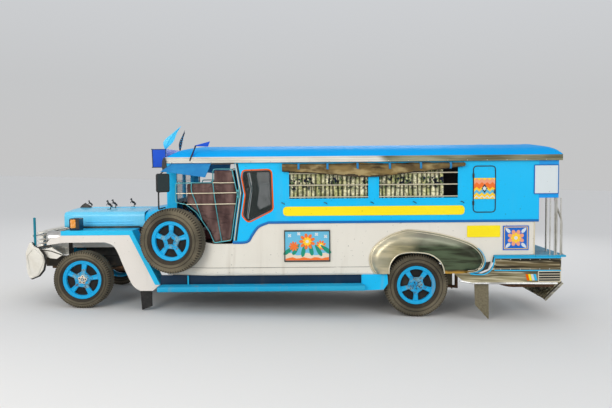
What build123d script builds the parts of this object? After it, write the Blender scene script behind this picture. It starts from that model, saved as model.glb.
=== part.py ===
from build123d import *
from math import asin, atan2, cos, hypot, radians, sin, sqrt, tan
import os

os.makedirs("parts", exist_ok=True)

# A long-wheelbase jeepney. Lengths are in millimetres. The body sits nose down on
# its wheels, so it has its own axes: u runs back from the front wheel centre, v runs up
# from it, and Y is the width, with the left side at minus Y.

# Wheels and stance
wheelbase = 3832
front_tyre_r = 328
rear_tyre_r = 364
rear_axle_drop = 92
wheel_face_y = 800
tyre_width = 195
rim_width = 150
bead_r = 205
lip_r = 222
lip_thickness = 6
barrel_thickness = 12
disc_thickness = 14
disc_inset = 24
hub_r = 62
hub_length = 60
drum_r = 145
drum_width = 60
spoke_count = 5
spoke_hole_inner_r = 82
spoke_hole_outer_r = 170
spoke_hole_inner_width = 34
spoke_hole_outer_width = 112
spindle_r = 25
running_gap = 0.06
seat_gap = 0.3
moving_gap = 6

# Body widths, each from the centre plane to an outer face
body_half_width = 870
panel = 25
post_half_width = 780
hood_half_width = 500
fender_half_width = 860
rail_half_width = 900
board_half_width = 1000
sill_half_width = 820
mirror_half_width = 1100

# Body heights and stations
rail_top_v = 225
floor_thickness = 25
panel_bottom_v = 50
panel_rear_bottom_v = 262
belt_v = 641
header_bottom_v = 903
roof_bottom_v = 1324
roof_edge_v = 1386
roof_shoulder_v = 1478
roof_crown_v = 1532
hood_rear_u = 656
hood_front_u = -300
cowl_rear_u = 985
taper_end_u = 1500
body_rear_u = 5150
upper_overhang = 43
header_overhang = 267
deck_overhang = 350
step_overhang = 68
upper_rear_u = body_rear_u + upper_overhang
header_rear_u = body_rear_u + header_overhang
deck_rear_u = body_rear_u + deck_overhang
front_tip_u = -700
bumper_top_v = 334
step_tip_u = deck_rear_u + step_overhang
step_tip_v = -93

# Chassis
rail_y = 390
rail_width = 60
rail_height = 120
rail_front_u = -560
rail_overhang = 170
rail_rear_u = body_rear_u + rail_overhang

# The body axes. The rake follows from the two wheel sizes and how far the rear axle
# hangs below the front one.
axle_rise = rear_tyre_r - front_tyre_r
axle_span = hypot(wheelbase, axle_rise)
rake = atan2(axle_rise, wheelbase) + asin(rear_axle_drop / axle_span)
rear_axle_u = sqrt(axle_span**2 - rear_axle_drop**2)
rear_axle_v = -rear_axle_drop


def across(u, v):
    """Ground distance from the front wheel centre to a body point."""
    return u * cos(rake) - v * sin(rake)


front_axle_x = -(across(front_tip_u, bumper_top_v) + across(step_tip_u, step_tip_v)) / 2
u_dir = Vector(cos(rake), 0, sin(rake))
v_dir = Vector(-sin(rake), 0, cos(rake))
side = Plane(origin=(front_axle_x, 0, front_tyre_r), x_dir=u_dir, z_dir=(0, -1, 0))


def place(u, y, v):
    """A body point in the ground frame."""
    return side.from_local_coords(Vector(u, v, -y))


def plan(v):
    """A plane seen from above at height v, with u and Y as its axes."""
    return Plane(origin=place(0, 0, v), x_dir=u_dir, z_dir=v_dir)


def cross(u):
    """A plane across the body at station u, with Y and v as its axes."""
    return Plane(origin=place(u, 0, 0), x_dir=(0, 1, 0), z_dir=u_dir)


def finish(built, name):
    """Label one sub-part and write it."""
    built.part.label = name
    export_step(built.part, f"parts/{name}.step")


floor_v = rail_top_v + floor_thickness
rail_v = rail_top_v - rail_height / 2
rail_bottom_v = rail_top_v - rail_height
side_inner_y = body_half_width - panel

# Chassis: two box rails and cross members, with an upright tow pin hole at the front of
# each rail and a socket for a tow pin in its rear end
rear_crossmember_set_back = 100
crossmember_us = [-420, -120, 320, 1100, 2000, 2900, 4250, body_rear_u - rear_crossmember_set_back]
crossmember_length = 70
crossmember_height = 60
tow_hole_r = 16
tow_hole_front_u = -520
tow_socket_depth = 80
outrigger_us = [1250, 2200, 3150]
outrigger_height = 50

with BuildPart() as chassis_frame:
    with BuildSketch(cross(rail_front_u)):
        with Locations((-rail_y, rail_v), (rail_y, rail_v)):
            Rectangle(rail_width, rail_height)
    extrude(amount=rail_rear_u - rail_front_u)
    for station in crossmember_us:
        with BuildSketch(cross(station)):
            with Locations((0, rail_bottom_v + crossmember_height / 2)):
                Rectangle(2 * rail_y, crossmember_height)
        extrude(amount=crossmember_length)
    for station in outrigger_us:
        with BuildSketch(cross(station)):
            with Locations((0, rail_top_v - outrigger_height / 2)):
                Rectangle(2 * (sill_half_width - panel), outrigger_height)
        extrude(amount=crossmember_length)
    with BuildSketch(plan(rail_bottom_v)):
        with Locations((tow_hole_front_u, -rail_y), (tow_hole_front_u, rail_y)):
            Circle(tow_hole_r)
    extrude(amount=rail_height, mode=Mode.SUBTRACT)
    with BuildSketch(cross(rail_rear_u)):
        with Locations((-rail_y, rail_v), (rail_y, rail_v)):
            Circle(tow_hole_r)
    extrude(amount=-tow_socket_depth, mode=Mode.SUBTRACT)
finish(chassis_frame, "chassis_frame")

# Floor: one deck from the cowl to the rear entrance, with a box over each rear wheel
floor_front_u = 700
wheel_box_length = 820
wheel_box_height = 95
wheel_box_inner_y = 565
wheel_box_wall = 12
floor_front_half_width = 460

with BuildPart() as floor:
    with BuildSketch(plan(rail_top_v)):
        with BuildLine():
            Polyline(
                (floor_front_u, 0),
                (floor_front_u, floor_front_half_width),
                (cowl_rear_u, floor_front_half_width),
                (cowl_rear_u, post_half_width - panel),
                (taper_end_u, side_inner_y),
                (body_rear_u, side_inner_y),
                (body_rear_u, 0),
                close=True,
            )
        make_face()
    extrude(amount=floor_thickness)
    with BuildSketch(plan(rail_top_v)):
        with Locations((rear_axle_u, (wheel_box_inner_y + side_inner_y) / 2)):
            Rectangle(wheel_box_length, side_inner_y - wheel_box_inner_y)
    extrude(amount=wheel_box_height + wheel_box_wall)
    with BuildSketch(plan(rail_top_v)):
        with Locations((rear_axle_u, (wheel_box_inner_y + wheel_box_wall + side_inner_y) / 2)):
            Rectangle(
                wheel_box_length - 2 * wheel_box_wall, side_inner_y - wheel_box_inner_y - wheel_box_wall
            )
    extrude(amount=wheel_box_height, mode=Mode.SUBTRACT)
    mirror(about=Plane.XZ)
finish(floor, "floor")

# Cowl: a shell that widens from the hood to the windscreen posts, open to the cab
cowl_top_v = 850
cowl_step = 15
cowl_rear_half_width = post_half_width - cowl_step

with BuildPart() as cowl:
    with BuildSketch(plan(rail_top_v)):
        with BuildLine():
            Polyline(
                (hood_rear_u + moving_gap, -hood_half_width),
                (cowl_rear_u - seat_gap, -cowl_rear_half_width),
                (cowl_rear_u - seat_gap, cowl_rear_half_width),
                (hood_rear_u + moving_gap, hood_half_width),
                close=True,
            )
        make_face()
    extrude(amount=cowl_top_v - rail_top_v)
    with BuildSketch(plan(rail_top_v)):
        with BuildLine():
            Polyline(
                (hood_rear_u + moving_gap + panel, -hood_half_width + panel),
                (cowl_rear_u, -cowl_rear_half_width + panel),
                (cowl_rear_u, cowl_rear_half_width - panel),
                (hood_rear_u + moving_gap + panel, hood_half_width - panel),
                close=True,
            )
        make_face()
    extrude(amount=cowl_top_v - rail_top_v - panel, mode=Mode.SUBTRACT)
finish(cowl, "cowl")

# Hood: crowned top with straight sides, hinged along its rear top edge
hood_bottom_v = 578
hood_shoulder_v = 738
hood_crown_v = 782
hood_wall = 14


def hood_section(inset):
    """The hood's cross section, inset by a wall."""
    half = hood_half_width - inset
    with BuildSketch() as section:
        with BuildLine():
            Polyline(
                (-half, hood_shoulder_v),
                (-half, hood_bottom_v),
                (half, hood_bottom_v),
                (half, hood_shoulder_v),
            )
            ThreePointArc((half, hood_shoulder_v), (0, hood_crown_v - inset), (-half, hood_shoulder_v))
        make_face()
    return section.sketch


with BuildPart() as hood:
    with BuildSketch(cross(hood_front_u)):
        add(hood_section(0))
    extrude(amount=hood_rear_u - hood_front_u)
    with BuildSketch(cross(hood_front_u)):
        add(hood_section(hood_wall))
    extrude(amount=hood_rear_u - hood_front_u, mode=Mode.SUBTRACT)
finish(hood, "hood")

# Hood ornaments: small cast horses and a low pointed mascot on the crown
ornament_width = 22
ornaments = [
    {"u": 160, "y": -250, "height": 140, "length": 62},
    {"u": 163, "y": -60, "height": 118, "length": 56},
    {"u": 330, "y": 180, "height": 118, "length": 62},
    {"u": -248, "y": 250, "height": 95, "length": 48},
]
mascot_front_u = -290
mascot_length = 150
mascot_height = 62
ornament_profile = [(-0.2, 0), (0.5, 0), (0.4, 0.45), (0.1, 1), (-0.5, 0.85)]
hood_crown_rise = hood_crown_v - hood_shoulder_v
hood_arc_r = (hood_half_width**2 + hood_crown_rise**2) / (2 * hood_crown_rise)


def hood_surface_v(y):
    """Height of the hood's outer surface at a distance from the centre."""
    return hood_crown_v - hood_arc_r + sqrt(hood_arc_r**2 - y**2)


with BuildPart() as hood_ornaments:
    for row in ornaments:
        base_v = hood_surface_v(abs(row["y"]) - ornament_width / 2) + seat_gap
        with BuildSketch(side.offset(-row["y"] - ornament_width / 2)):
            with BuildLine():
                Polyline(
                    *[
                        (row["u"] + row["length"] * along, base_v + row["height"] * up)
                        for along, up in ornament_profile
                    ],
                    close=True,
                )
            make_face()
        extrude(amount=ornament_width)
    with BuildSketch(side.offset(-ornament_width)):
        with BuildLine():
            Polyline(
                (mascot_front_u, hood_crown_v + seat_gap),
                (mascot_front_u + mascot_length, hood_crown_v + seat_gap),
                (mascot_front_u + mascot_length / 2, hood_crown_v + mascot_height),
                close=True,
            )
        make_face()
    extrude(amount=2 * ornament_width)
finish(hood_ornaments, "hood_ornaments")

# Front fenders: a flat top that turns down a straight diagonal to the running board,
# with a flat outer face that the wheel arch is cut into
fender_top_v = 567
fender_skin = 16
fender_face = 20
fender_knee_u = 600
fender_foot_u = 905
fender_foot_v = -52
fender_strip_start_u = -200
fender_inner_y = hood_half_width + moving_gap
fender_diagonal_inner_y = 615
fender_nose_inner_y = 700
fender_splash_v = 340
fender_arch_top_v = 437
fender_fold = 0.6
fender_nose = [(-366, 433), (-338, 472), (-200, 520), (-200, 504), (-330, 457), (-353, 433)]
fender_outline = [
    (-366, 433),
    (-338, 472),
    (fender_strip_start_u, 520),
    (fender_strip_start_u, fender_top_v),
    (fender_knee_u, fender_top_v),
    (fender_foot_u, fender_foot_v),
    (823, -121),
    (682, -120),
    (617, -77),
    (562, 10),
    (482, 201),
    (438, 314),
    (384, 400),
    (291, 438),
    (-179, fender_arch_top_v),
    (-366, 411),
]
diagonal_angle = atan2(fender_top_v - fender_foot_v, fender_foot_u - fender_knee_u)
skin_along_u = fender_skin / sin(diagonal_angle)

with BuildPart() as front_fenders:
    with BuildSketch(side.offset(fender_half_width)):
        with BuildLine():
            Polyline(*fender_outline, close=True)
        make_face()
    extrude(amount=-fender_face)
    with BuildSketch(side.offset(fender_inner_y)):
        with BuildLine():
            Polyline(
                (fender_strip_start_u, fender_top_v),
                (fender_knee_u, fender_top_v),
                (fender_knee_u - skin_along_u * fender_fold, fender_top_v - fender_skin),
                (fender_strip_start_u, fender_top_v - fender_skin),
                close=True,
            )
        make_face()
    extrude(amount=fender_half_width - fender_inner_y)
    with BuildSketch(side.offset(fender_diagonal_inner_y)):
        with BuildLine():
            Polyline(
                (fender_knee_u, fender_top_v),
                (fender_foot_u, fender_foot_v),
                (fender_foot_u - skin_along_u, fender_foot_v),
                (fender_knee_u - skin_along_u, fender_top_v),
                close=True,
            )
        make_face()
    extrude(amount=fender_half_width - fender_diagonal_inner_y)
    with BuildSketch(side.offset(fender_inner_y)):
        with BuildLine():
            Polyline(
                (fender_strip_start_u, fender_top_v),
                (fender_strip_start_u + fender_skin, fender_top_v),
                (fender_strip_start_u + fender_skin, fender_arch_top_v),
                (fender_strip_start_u, fender_arch_top_v),
                close=True,
            )
        make_face()
    extrude(amount=fender_half_width - fender_inner_y)
    with BuildSketch(side.offset(fender_inner_y)):
        with BuildLine():
            Polyline(
                (fender_strip_start_u, fender_top_v - fender_skin),
                (fender_knee_u - skin_along_u, fender_top_v - fender_skin),
                (fender_knee_u - skin_along_u, fender_splash_v),
                (fender_strip_start_u, fender_splash_v),
                close=True,
            )
        make_face()
    extrude(amount=fender_skin)
    with BuildSketch(side.offset(fender_nose_inner_y)):
        with BuildLine():
            Polyline(*fender_nose, close=True)
        make_face()
    extrude(amount=fender_half_width - fender_nose_inner_y)
    mirror(about=Plane.XZ)
finish(front_fenders, "front_fenders")

# Grille: a frame with upright slats across the nose, standing on the chassis rails
grille_depth = 45
grille_top_v = hood_shoulder_v
grille_bottom_v = rail_top_v
grille_half_width = 478
grille_opening_half_width = 370
grille_opening_bottom_v = 300
grille_opening_top_v = 700
slat_count = 9
slat_width = 22
slat_depth = 20
grille_set_back = 50
grille_front_u = hood_front_u + grille_set_back

with BuildPart() as grille_shell:
    with BuildSketch(cross(grille_front_u)):
        with Locations((0, (grille_top_v + grille_bottom_v) / 2)):
            Rectangle(2 * grille_half_width, grille_top_v - grille_bottom_v)
        with Locations((0, (grille_opening_bottom_v + grille_opening_top_v) / 2)):
            Rectangle(
                2 * grille_opening_half_width,
                grille_opening_top_v - grille_opening_bottom_v,
                mode=Mode.SUBTRACT,
            )
    extrude(amount=grille_depth)
    slat_pitch = 2 * grille_opening_half_width / (slat_count + 1)
    with BuildSketch(cross(grille_front_u)):
        with Locations((0, (grille_opening_bottom_v + grille_opening_top_v) / 2)):
            with GridLocations(slat_pitch, 0, slat_count, 1):
                Rectangle(slat_width, grille_opening_top_v - grille_opening_bottom_v)
    extrude(amount=slat_depth)
finish(grille_shell, "grille_shell")

# Lamps: round headlamps ahead of the fenders and square turn lamps on top of them
headlamp_r = 78
headlamp_y = 610
headlamp_v = 470
headlamp_front_u = -440
turn_lamp_u = -135
turn_lamp_length = 118
turn_lamp_height = 138
turn_lamp_inner_y = 655
turn_lamp_width = 125

with BuildPart() as headlamps:
    with BuildSketch(cross(headlamp_front_u)):
        with Locations((-headlamp_y, headlamp_v), (headlamp_y, headlamp_v)):
            Circle(headlamp_r)
    extrude(amount=fender_strip_start_u - seat_gap - headlamp_front_u)
finish(headlamps, "headlamps")

with BuildPart() as turn_lamps:
    with BuildSketch(side.offset(turn_lamp_inner_y)):
        with Locations((turn_lamp_u + turn_lamp_length / 2, fender_top_v + turn_lamp_height / 2)):
            Rectangle(turn_lamp_length, turn_lamp_height)
    extrude(amount=turn_lamp_width)
    mirror(about=Plane.XZ)
finish(turn_lamps, "turn_lamps")

# Front bumper: a bowed bar with a lobed plate at each end
bumper_bottom_v = 136
bumper_thickness = 50
bumper_end_u = -600
bumper_plate = 20
bumper_arm_width = 70
bumper_arm_height = 80
bumper_arm_rise = 35
bumper_plate_outline = [
    (-600, 300),
    (-575, 360),
    (-510, 392),
    (-455, 370),
    (-408, 300),
    (-393, 225),
    (-415, 130),
    (-468, 66),
    (-560, 28),
    (-592, 90),
]

with BuildPart() as front_bumper:
    with BuildSketch(plan(bumper_bottom_v)):
        with BuildLine():
            ThreePointArc(
                (bumper_end_u, -fender_half_width), (front_tip_u, 0), (bumper_end_u, fender_half_width)
            )
            Line((bumper_end_u, fender_half_width), (bumper_end_u + bumper_thickness, fender_half_width))
            ThreePointArc(
                (bumper_end_u + bumper_thickness, fender_half_width),
                (front_tip_u + bumper_thickness, 0),
                (bumper_end_u + bumper_thickness, -fender_half_width),
            )
            Line((bumper_end_u + bumper_thickness, -fender_half_width), (bumper_end_u, -fender_half_width))
        make_face()
    extrude(amount=bumper_top_v - bumper_bottom_v)
    with BuildSketch(side.offset(fender_half_width)):
        with BuildLine():
            Polyline(*bumper_plate_outline, close=True)
        make_face()
    extrude(amount=-bumper_plate)
    with BuildSketch(plan(rail_bottom_v + bumper_arm_rise)):
        with Locations(((front_tip_u + rail_front_u) / 2 + bumper_thickness / 2, rail_y)):
            Rectangle(rail_front_u - front_tip_u - bumper_thickness, bumper_arm_width)
    extrude(amount=bumper_arm_height)
    mirror(about=Plane.XZ)
finish(front_bumper, "front_bumper")

# Grille guard: stacked flat bars on the bumper, and a round post at each corner
guard_front_u = -636
guard_rear_u = -546
guard_half_width = 500
guard_bar_height = 26
guard_bar_pitch = 48
guard_bar_count = 4
guard_upright_width = 30
guard_upright_pitch = 330
guard_lug_v = 385
guard_lug_height = 20
guard_lug_length = 30
guard_lug_reach = 40
guard_tie_thickness = 20
guard_tie_lap = 15
guard_post_u = -522
guard_post_y = 800
guard_post_r = 15
guard_post_top_v = 716
guard_top_v = bumper_top_v + guard_bar_pitch * guard_bar_count

with BuildPart() as grille_guard:
    for step in range(guard_bar_count):
        with BuildSketch(plan(bumper_top_v + guard_bar_pitch * (step + 1) - guard_bar_height)):
            with Locations(((guard_front_u + guard_rear_u) / 2, 0)):
                Rectangle(guard_rear_u - guard_front_u, 2 * guard_half_width)
        extrude(amount=guard_bar_height)
    with BuildSketch(plan(bumper_top_v)):
        with Locations(((guard_front_u + guard_rear_u) / 2, 0)):
            with GridLocations(0, guard_upright_pitch, 1, 3):
                Rectangle(guard_rear_u - guard_front_u - 2 * guard_upright_width, guard_upright_width)
    extrude(amount=guard_top_v - bumper_top_v)
    with BuildSketch(plan(guard_lug_v)):
        with Locations((guard_post_u, guard_post_y), (guard_post_u, -guard_post_y)):
            Circle(guard_post_r)
    extrude(amount=guard_post_top_v - guard_lug_v)
    with BuildSketch(plan(guard_lug_v)):
        with GridLocations(0, 2 * guard_post_y + guard_lug_reach, 1, 2):
            with Locations((guard_post_u, 0)):
                Rectangle(guard_lug_length, guard_lug_reach)
    extrude(amount=guard_lug_height)
    with BuildSketch(plan(guard_top_v - guard_bar_height)):
        with GridLocations(0, guard_post_y + guard_half_width, 1, 2):
            with Locations((guard_post_u - guard_tie_thickness, 0)):
                Rectangle(guard_tie_thickness, guard_post_y - guard_half_width + 2 * guard_tie_lap)
    extrude(amount=guard_bar_height)
finish(grille_guard, "grille_guard")

# Side walls: one strip in plan that tapers in ahead of the doorway, cut into a lower
# white panel and an upper blue one
door_sill_v = 410
door_front_u = 1110
door_pillar_u = 1822
door_ledge_v = 800
door_pillar_low_v = 951
door_pillar_high_v = 1018
door_header_u = 1771
arch_r = 430
strip_top_v = roof_bottom_v
quarter_window = [
    (1881, 1220),
    (2173, 1229),
    (2185, 801),
    (1919, 673),
    (1875, 736),
    (1906, 961),
    (1873, 1153),
]
windows = [{"front_u": 2377, "rear_u": 3285}, {"front_u": 3388, "rear_u": 4293}]
window_bottom_v = 905
window_top_v = 1294
quarter_fillet = 20
window_fillet = 18
swoop = [(1746, 431), (1910, 435), (1966, 511), (2035, 600)]
swoop_end_u = 2144
door_curve = [
    (1530, door_sill_v),
    (1440, 425),
    (1340, 480),
    (1240, 600),
    (1180, 740),
    (door_front_u, door_ledge_v),
]
fairing_corner_u = 4690
door_sill_rear_u = 1734
lower_outline = (
    [(cowl_rear_u, panel_bottom_v), (cowl_rear_u, door_ledge_v)]
    + door_curve[::-1]
    + [(door_sill_rear_u, door_sill_v)]
    + swoop
    + [
        (swoop_end_u, belt_v),
        (body_rear_u, belt_v),
        (body_rear_u, panel_rear_bottom_v),
        (fairing_corner_u, panel_rear_bottom_v),
        (4670, 160),
        (4630, 100),
        (4560, 78),
        (4530, panel_bottom_v),
    ]
)
upper_outline = (
    swoop[::-1]
    + [
        (door_header_u, 624),
        (door_pillar_u, door_pillar_low_v),
        (door_pillar_u, door_pillar_high_v),
        (door_header_u, strip_top_v),
        (upper_rear_u, strip_top_v),
        (upper_rear_u, belt_v),
        (swoop_end_u, belt_v),
    ]
)


def side_strips():
    """Both side walls as plain strips."""
    with BuildPart() as strips:
        with BuildSketch(plan(panel_bottom_v)):
            with BuildLine():
                Polyline(
                    (cowl_rear_u, post_half_width),
                    (taper_end_u, body_half_width),
                    (upper_rear_u, body_half_width),
                    (upper_rear_u, side_inner_y),
                    (taper_end_u, side_inner_y),
                    (cowl_rear_u, post_half_width - panel),
                    close=True,
                )
            make_face()
        extrude(amount=strip_top_v - panel_bottom_v)
        mirror(about=Plane.XZ)
    return strips.part


with BuildPart() as lower_sides:
    add(side_strips())
    with BuildSketch(side.offset(-body_half_width)):
        with BuildLine():
            Polyline(*lower_outline, close=True)
        make_face()
        with Locations((rear_axle_u, rear_axle_v)):
            Circle(arch_r, mode=Mode.SUBTRACT)
    extrude(amount=2 * body_half_width, mode=Mode.INTERSECT)
finish(lower_sides, "lower_sides")

with BuildPart() as upper_sides:
    add(side_strips())
    with BuildSketch(side.offset(-body_half_width)):
        with BuildLine():
            Polyline(*upper_outline, close=True)
        make_face()
        for row in windows:
            with Locations(((row["front_u"] + row["rear_u"]) / 2, (window_bottom_v + window_top_v) / 2)):
                RectangleRounded(
                    row["rear_u"] - row["front_u"],
                    window_top_v - window_bottom_v,
                    window_fillet,
                    mode=Mode.SUBTRACT,
                )
    extrude(amount=2 * body_half_width, mode=Mode.INTERSECT)
    with BuildSketch(side.offset(-body_half_width)):
        with BuildLine():
            Polyline(*quarter_window, close=True)
        quarter_face = make_face()
        fillet(quarter_face.vertices(), quarter_fillet)
    extrude(amount=2 * body_half_width, mode=Mode.SUBTRACT)
finish(upper_sides, "upper_sides")

# Roof: a thin crowned shell with sloping ends, over a bright rail on both sides
roof_skin = 22
roof_front_u = 1010
roof_overhang = 27
roof_tail_u = header_rear_u + roof_overhang
roof_slope_length = 179
roof_lip_length = 44
rail_wall = 22
roof_rail_depth = 145
roof_edge_lean = 18
roof_edge_rise = 24
roof_bend_in = 62
roof_bend_down = 26
roof_shoulder_in = 150
roof_silhouette = [
    (roof_front_u, roof_edge_v),
    (1084, 1433),
    (1174, 1480),
    (1342, roof_crown_v),
    (roof_tail_u - roof_slope_length, roof_crown_v),
    (roof_tail_u - roof_lip_length, 1450),
    (roof_tail_u, 1405),
    (roof_tail_u, roof_edge_v),
]


def roof_section(inset):
    """The roof's cross section, inset by its skin."""
    half = rail_half_width - inset
    turn = (half - roof_edge_lean, roof_edge_v + roof_edge_rise - inset)
    bend = (half - roof_bend_in, roof_shoulder_v - roof_bend_down - inset)
    shoulder = (half - roof_shoulder_in, roof_shoulder_v - inset)
    with BuildSketch() as section:
        with BuildLine():
            Polyline((-turn[0], turn[1]), (-half, roof_edge_v), (half, roof_edge_v), turn)
            ThreePointArc(turn, bend, shoulder)
            ThreePointArc(shoulder, (0, roof_crown_v - inset), (-shoulder[0], shoulder[1]))
            ThreePointArc((-shoulder[0], shoulder[1]), (-bend[0], bend[1]), (-turn[0], turn[1]))
        make_face()
    return section.sketch


with BuildPart() as roof_core:
    with BuildSketch(cross(roof_front_u + roof_skin)):
        add(roof_section(roof_skin))
    extrude(amount=roof_tail_u - roof_front_u - 2 * roof_skin)
    with BuildSketch(side.offset(-rail_half_width)):
        with BuildLine():
            Polyline(*[(u, v - roof_skin) for u, v in roof_silhouette], close=True)
        make_face()
    extrude(amount=2 * rail_half_width, mode=Mode.INTERSECT)

with BuildPart() as roof:
    with BuildSketch(cross(roof_front_u)):
        add(roof_section(0))
    extrude(amount=roof_tail_u - roof_front_u)
    with BuildSketch(side.offset(-rail_half_width)):
        with BuildLine():
            Polyline(*roof_silhouette, close=True)
        make_face()
    extrude(amount=2 * rail_half_width, mode=Mode.INTERSECT)
    add(roof_core.part, mode=Mode.SUBTRACT)
finish(roof, "roof")

with BuildPart() as roof_rails:
    with BuildSketch(plan(roof_bottom_v)):
        with GridLocations(0, 2 * rail_half_width - roof_rail_depth, 1, 2):
            with Locations(((roof_front_u + roof_tail_u) / 2, 0)):
                Rectangle(roof_tail_u - roof_front_u, roof_rail_depth)
        with Locations((roof_front_u + rail_wall / 2, 0), (roof_tail_u - rail_wall / 2, 0)):
            Rectangle(rail_wall, 2 * (rail_half_width - roof_rail_depth - seat_gap))
    extrude(amount=roof_edge_v - roof_bottom_v)
finish(roof_rails, "roof_rails")

# Windscreen: posts, sill and header bars with a middle post, and two flat panes
post_length = 110
post_depth = 55
post_outer_y = post_half_width - panel
post_inner_y = post_outer_y - post_depth
screen_set_back = 30
screen_bar_height = 50
screen_bar_depth = 40
screen_mid_half_width = 22
glass_thickness = 6
screen_u = cowl_rear_u + screen_set_back

with BuildPart() as windscreen_frame:
    with BuildSketch(plan(floor_v + seat_gap)):
        with GridLocations(0, post_outer_y + post_inner_y, 1, 2):
            with Locations((cowl_rear_u + post_length / 2, 0)):
                Rectangle(post_length, post_depth)
    extrude(amount=roof_bottom_v - floor_v - seat_gap)
    with BuildSketch(plan(cowl_top_v + seat_gap)):
        with Locations((screen_u + screen_bar_depth / 2, 0)):
            Rectangle(screen_bar_depth, 2 * screen_mid_half_width)
    extrude(amount=roof_bottom_v - cowl_top_v - seat_gap)
    with BuildSketch(cross(screen_u)):
        with Locations(
            (0, cowl_top_v + seat_gap + screen_bar_height / 2), (0, roof_bottom_v - screen_bar_height / 2)
        ):
            Rectangle(2 * post_inner_y, screen_bar_height)
    extrude(amount=screen_bar_depth)
finish(windscreen_frame, "windscreen_frame")

pane_bottom_v = cowl_top_v + seat_gap + screen_bar_height
pane_top_v = roof_bottom_v - screen_bar_height

with BuildPart() as glass:
    with BuildSketch(cross(screen_u + screen_bar_depth / 2)):
        with Locations(
            ((post_inner_y + screen_mid_half_width) / 2, (pane_bottom_v + pane_top_v) / 2),
            (-(post_inner_y + screen_mid_half_width) / 2, (pane_bottom_v + pane_top_v) / 2),
        ):
            Rectangle(
                post_inner_y - screen_mid_half_width - 2 * seat_gap, pane_top_v - pane_bottom_v - 2 * seat_gap
            )
    extrude(amount=glass_thickness)
    with BuildSketch(side.offset(body_half_width - panel / 2)):
        with BuildLine():
            Polyline(*quarter_window, close=True)
        quarter_pane = make_face()
        fillet(quarter_pane.vertices(), quarter_fillet)
        offset(amount=-seat_gap, mode=Mode.REPLACE)
    extrude(amount=glass_thickness)
    mirror(about=Plane.XZ, objects=glass.part.solids().sort_by(Axis.X)[-1])
finish(glass, "glass")

# Front signboard: a box across the top of the windscreen, with two leaf fins on it
sign_front_u = 820
sign_rear_u = cowl_rear_u - seat_gap
sign_inset = 30
sign_half_width = post_half_width - sign_inset
sign_lean = 6
sign_bottom_v = 1278
sign_top_v = 1490
fin_thickness = 8
fin_ys = [-700, 0]
fin_outline = [
    (952, sign_top_v),
    (942, 1559),
    (1010, 1640),
    (1155, 1755),
    (1091, 1661),
    (1060, 1580),
    (975, sign_top_v),
]
pennant_outline = [(1278, 1350), (1300, 1350), (1352, 1506), (1488, 1506), (1510, 1565), (1340, 1518)]

with BuildPart() as signboard:
    with BuildSketch(side.offset(-sign_half_width)):
        with BuildLine():
            Polyline(
                (sign_front_u, sign_top_v),
                (sign_front_u + sign_lean, sign_bottom_v),
                (sign_rear_u, sign_bottom_v),
                (sign_rear_u, sign_top_v),
                close=True,
            )
        make_face()
    extrude(amount=2 * sign_half_width)
finish(signboard, "signboard")

with BuildPart() as roof_fins:
    for fin_y in fin_ys:
        with BuildSketch(side.offset(-fin_y - fin_thickness / 2)):
            with BuildLine():
                Polyline(*fin_outline, close=True)
            make_face()
        extrude(amount=fin_thickness)
    for pennant_offset in (rail_half_width + seat_gap, -rail_half_width - seat_gap - fin_thickness):
        with BuildSketch(side.offset(pennant_offset)):
            with BuildLine():
                Polyline(*pennant_outline, close=True)
            make_face()
        extrude(amount=fin_thickness)
finish(roof_fins, "roof_fins")

# Side awnings over the doorways, sloping out and down from the roof rail
awning_slope = radians(40)
awning_thickness = 6
awning_outline = [(1076, 0), (1518, 0), (1471, -205), (1019, -124), (964, -118)]

with BuildPart() as side_awnings:
    slope_up = v_dir * cos(awning_slope) + Vector(0, sin(awning_slope), 0)
    awning_plane = Plane(
        origin=place(0, -(rail_half_width - awning_thickness), roof_bottom_v - seat_gap),
        x_dir=u_dir,
        z_dir=u_dir.cross(slope_up),
    )
    with BuildSketch(awning_plane):
        with BuildLine():
            Polyline(*awning_outline, close=True)
        make_face()
    extrude(amount=-awning_thickness)
    mirror(about=Plane.XZ)
finish(side_awnings, "side_awnings")

# Mirrors: a tall head turned half to the driver, on a bent arm from the cowl
mirror_u = 984
mirror_width = 165
mirror_thickness = 26
mirror_bottom_v = 1006
mirror_top_v = 1212
mirror_turn = 45
mirror_arm_r = 11
mirror_arm_v = 820
mirror_arm_set_back = 30
mirror_y = mirror_half_width - (mirror_width + mirror_thickness) / 2 * sin(radians(mirror_turn))
mirror_arm_u = mirror_u - mirror_arm_set_back
cowl_slope = (cowl_rear_half_width - hood_half_width) / (cowl_rear_u - hood_rear_u - moving_gap)
mirror_arm_inner_y = (
    hood_half_width + (mirror_arm_u + mirror_arm_r - hood_rear_u - moving_gap) * cowl_slope + seat_gap
)

with BuildPart() as mirrors:
    with BuildSketch(plan(mirror_bottom_v)):
        with Locations((mirror_u, -mirror_y)):
            Rectangle(mirror_width, mirror_thickness, rotation=-mirror_turn)
    extrude(amount=mirror_top_v - mirror_bottom_v)
    with BuildSketch(plan(mirror_arm_v)):
        with Locations((mirror_arm_u, -mirror_y + mirror_u - mirror_arm_u)):
            Circle(mirror_arm_r)
    extrude(amount=mirror_bottom_v + 4 * mirror_arm_r - mirror_arm_v)
    with BuildSketch(side.offset(mirror_arm_inner_y)):
        with Locations((mirror_arm_u, mirror_arm_v)):
            Circle(mirror_arm_r)
    extrude(amount=mirror_y - mirror_u + mirror_arm_u - mirror_arm_inner_y + mirror_arm_r)
    mirror(about=Plane.XZ)
finish(mirrors, "mirrors")

# Rear header: cheeks and a cross panel over the entrance
header_panel = 22
header_cut_margin = 1
entrance_low_half_width = 640
entrance_high_half_width = 600
entrance_top_v = 1130

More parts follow.
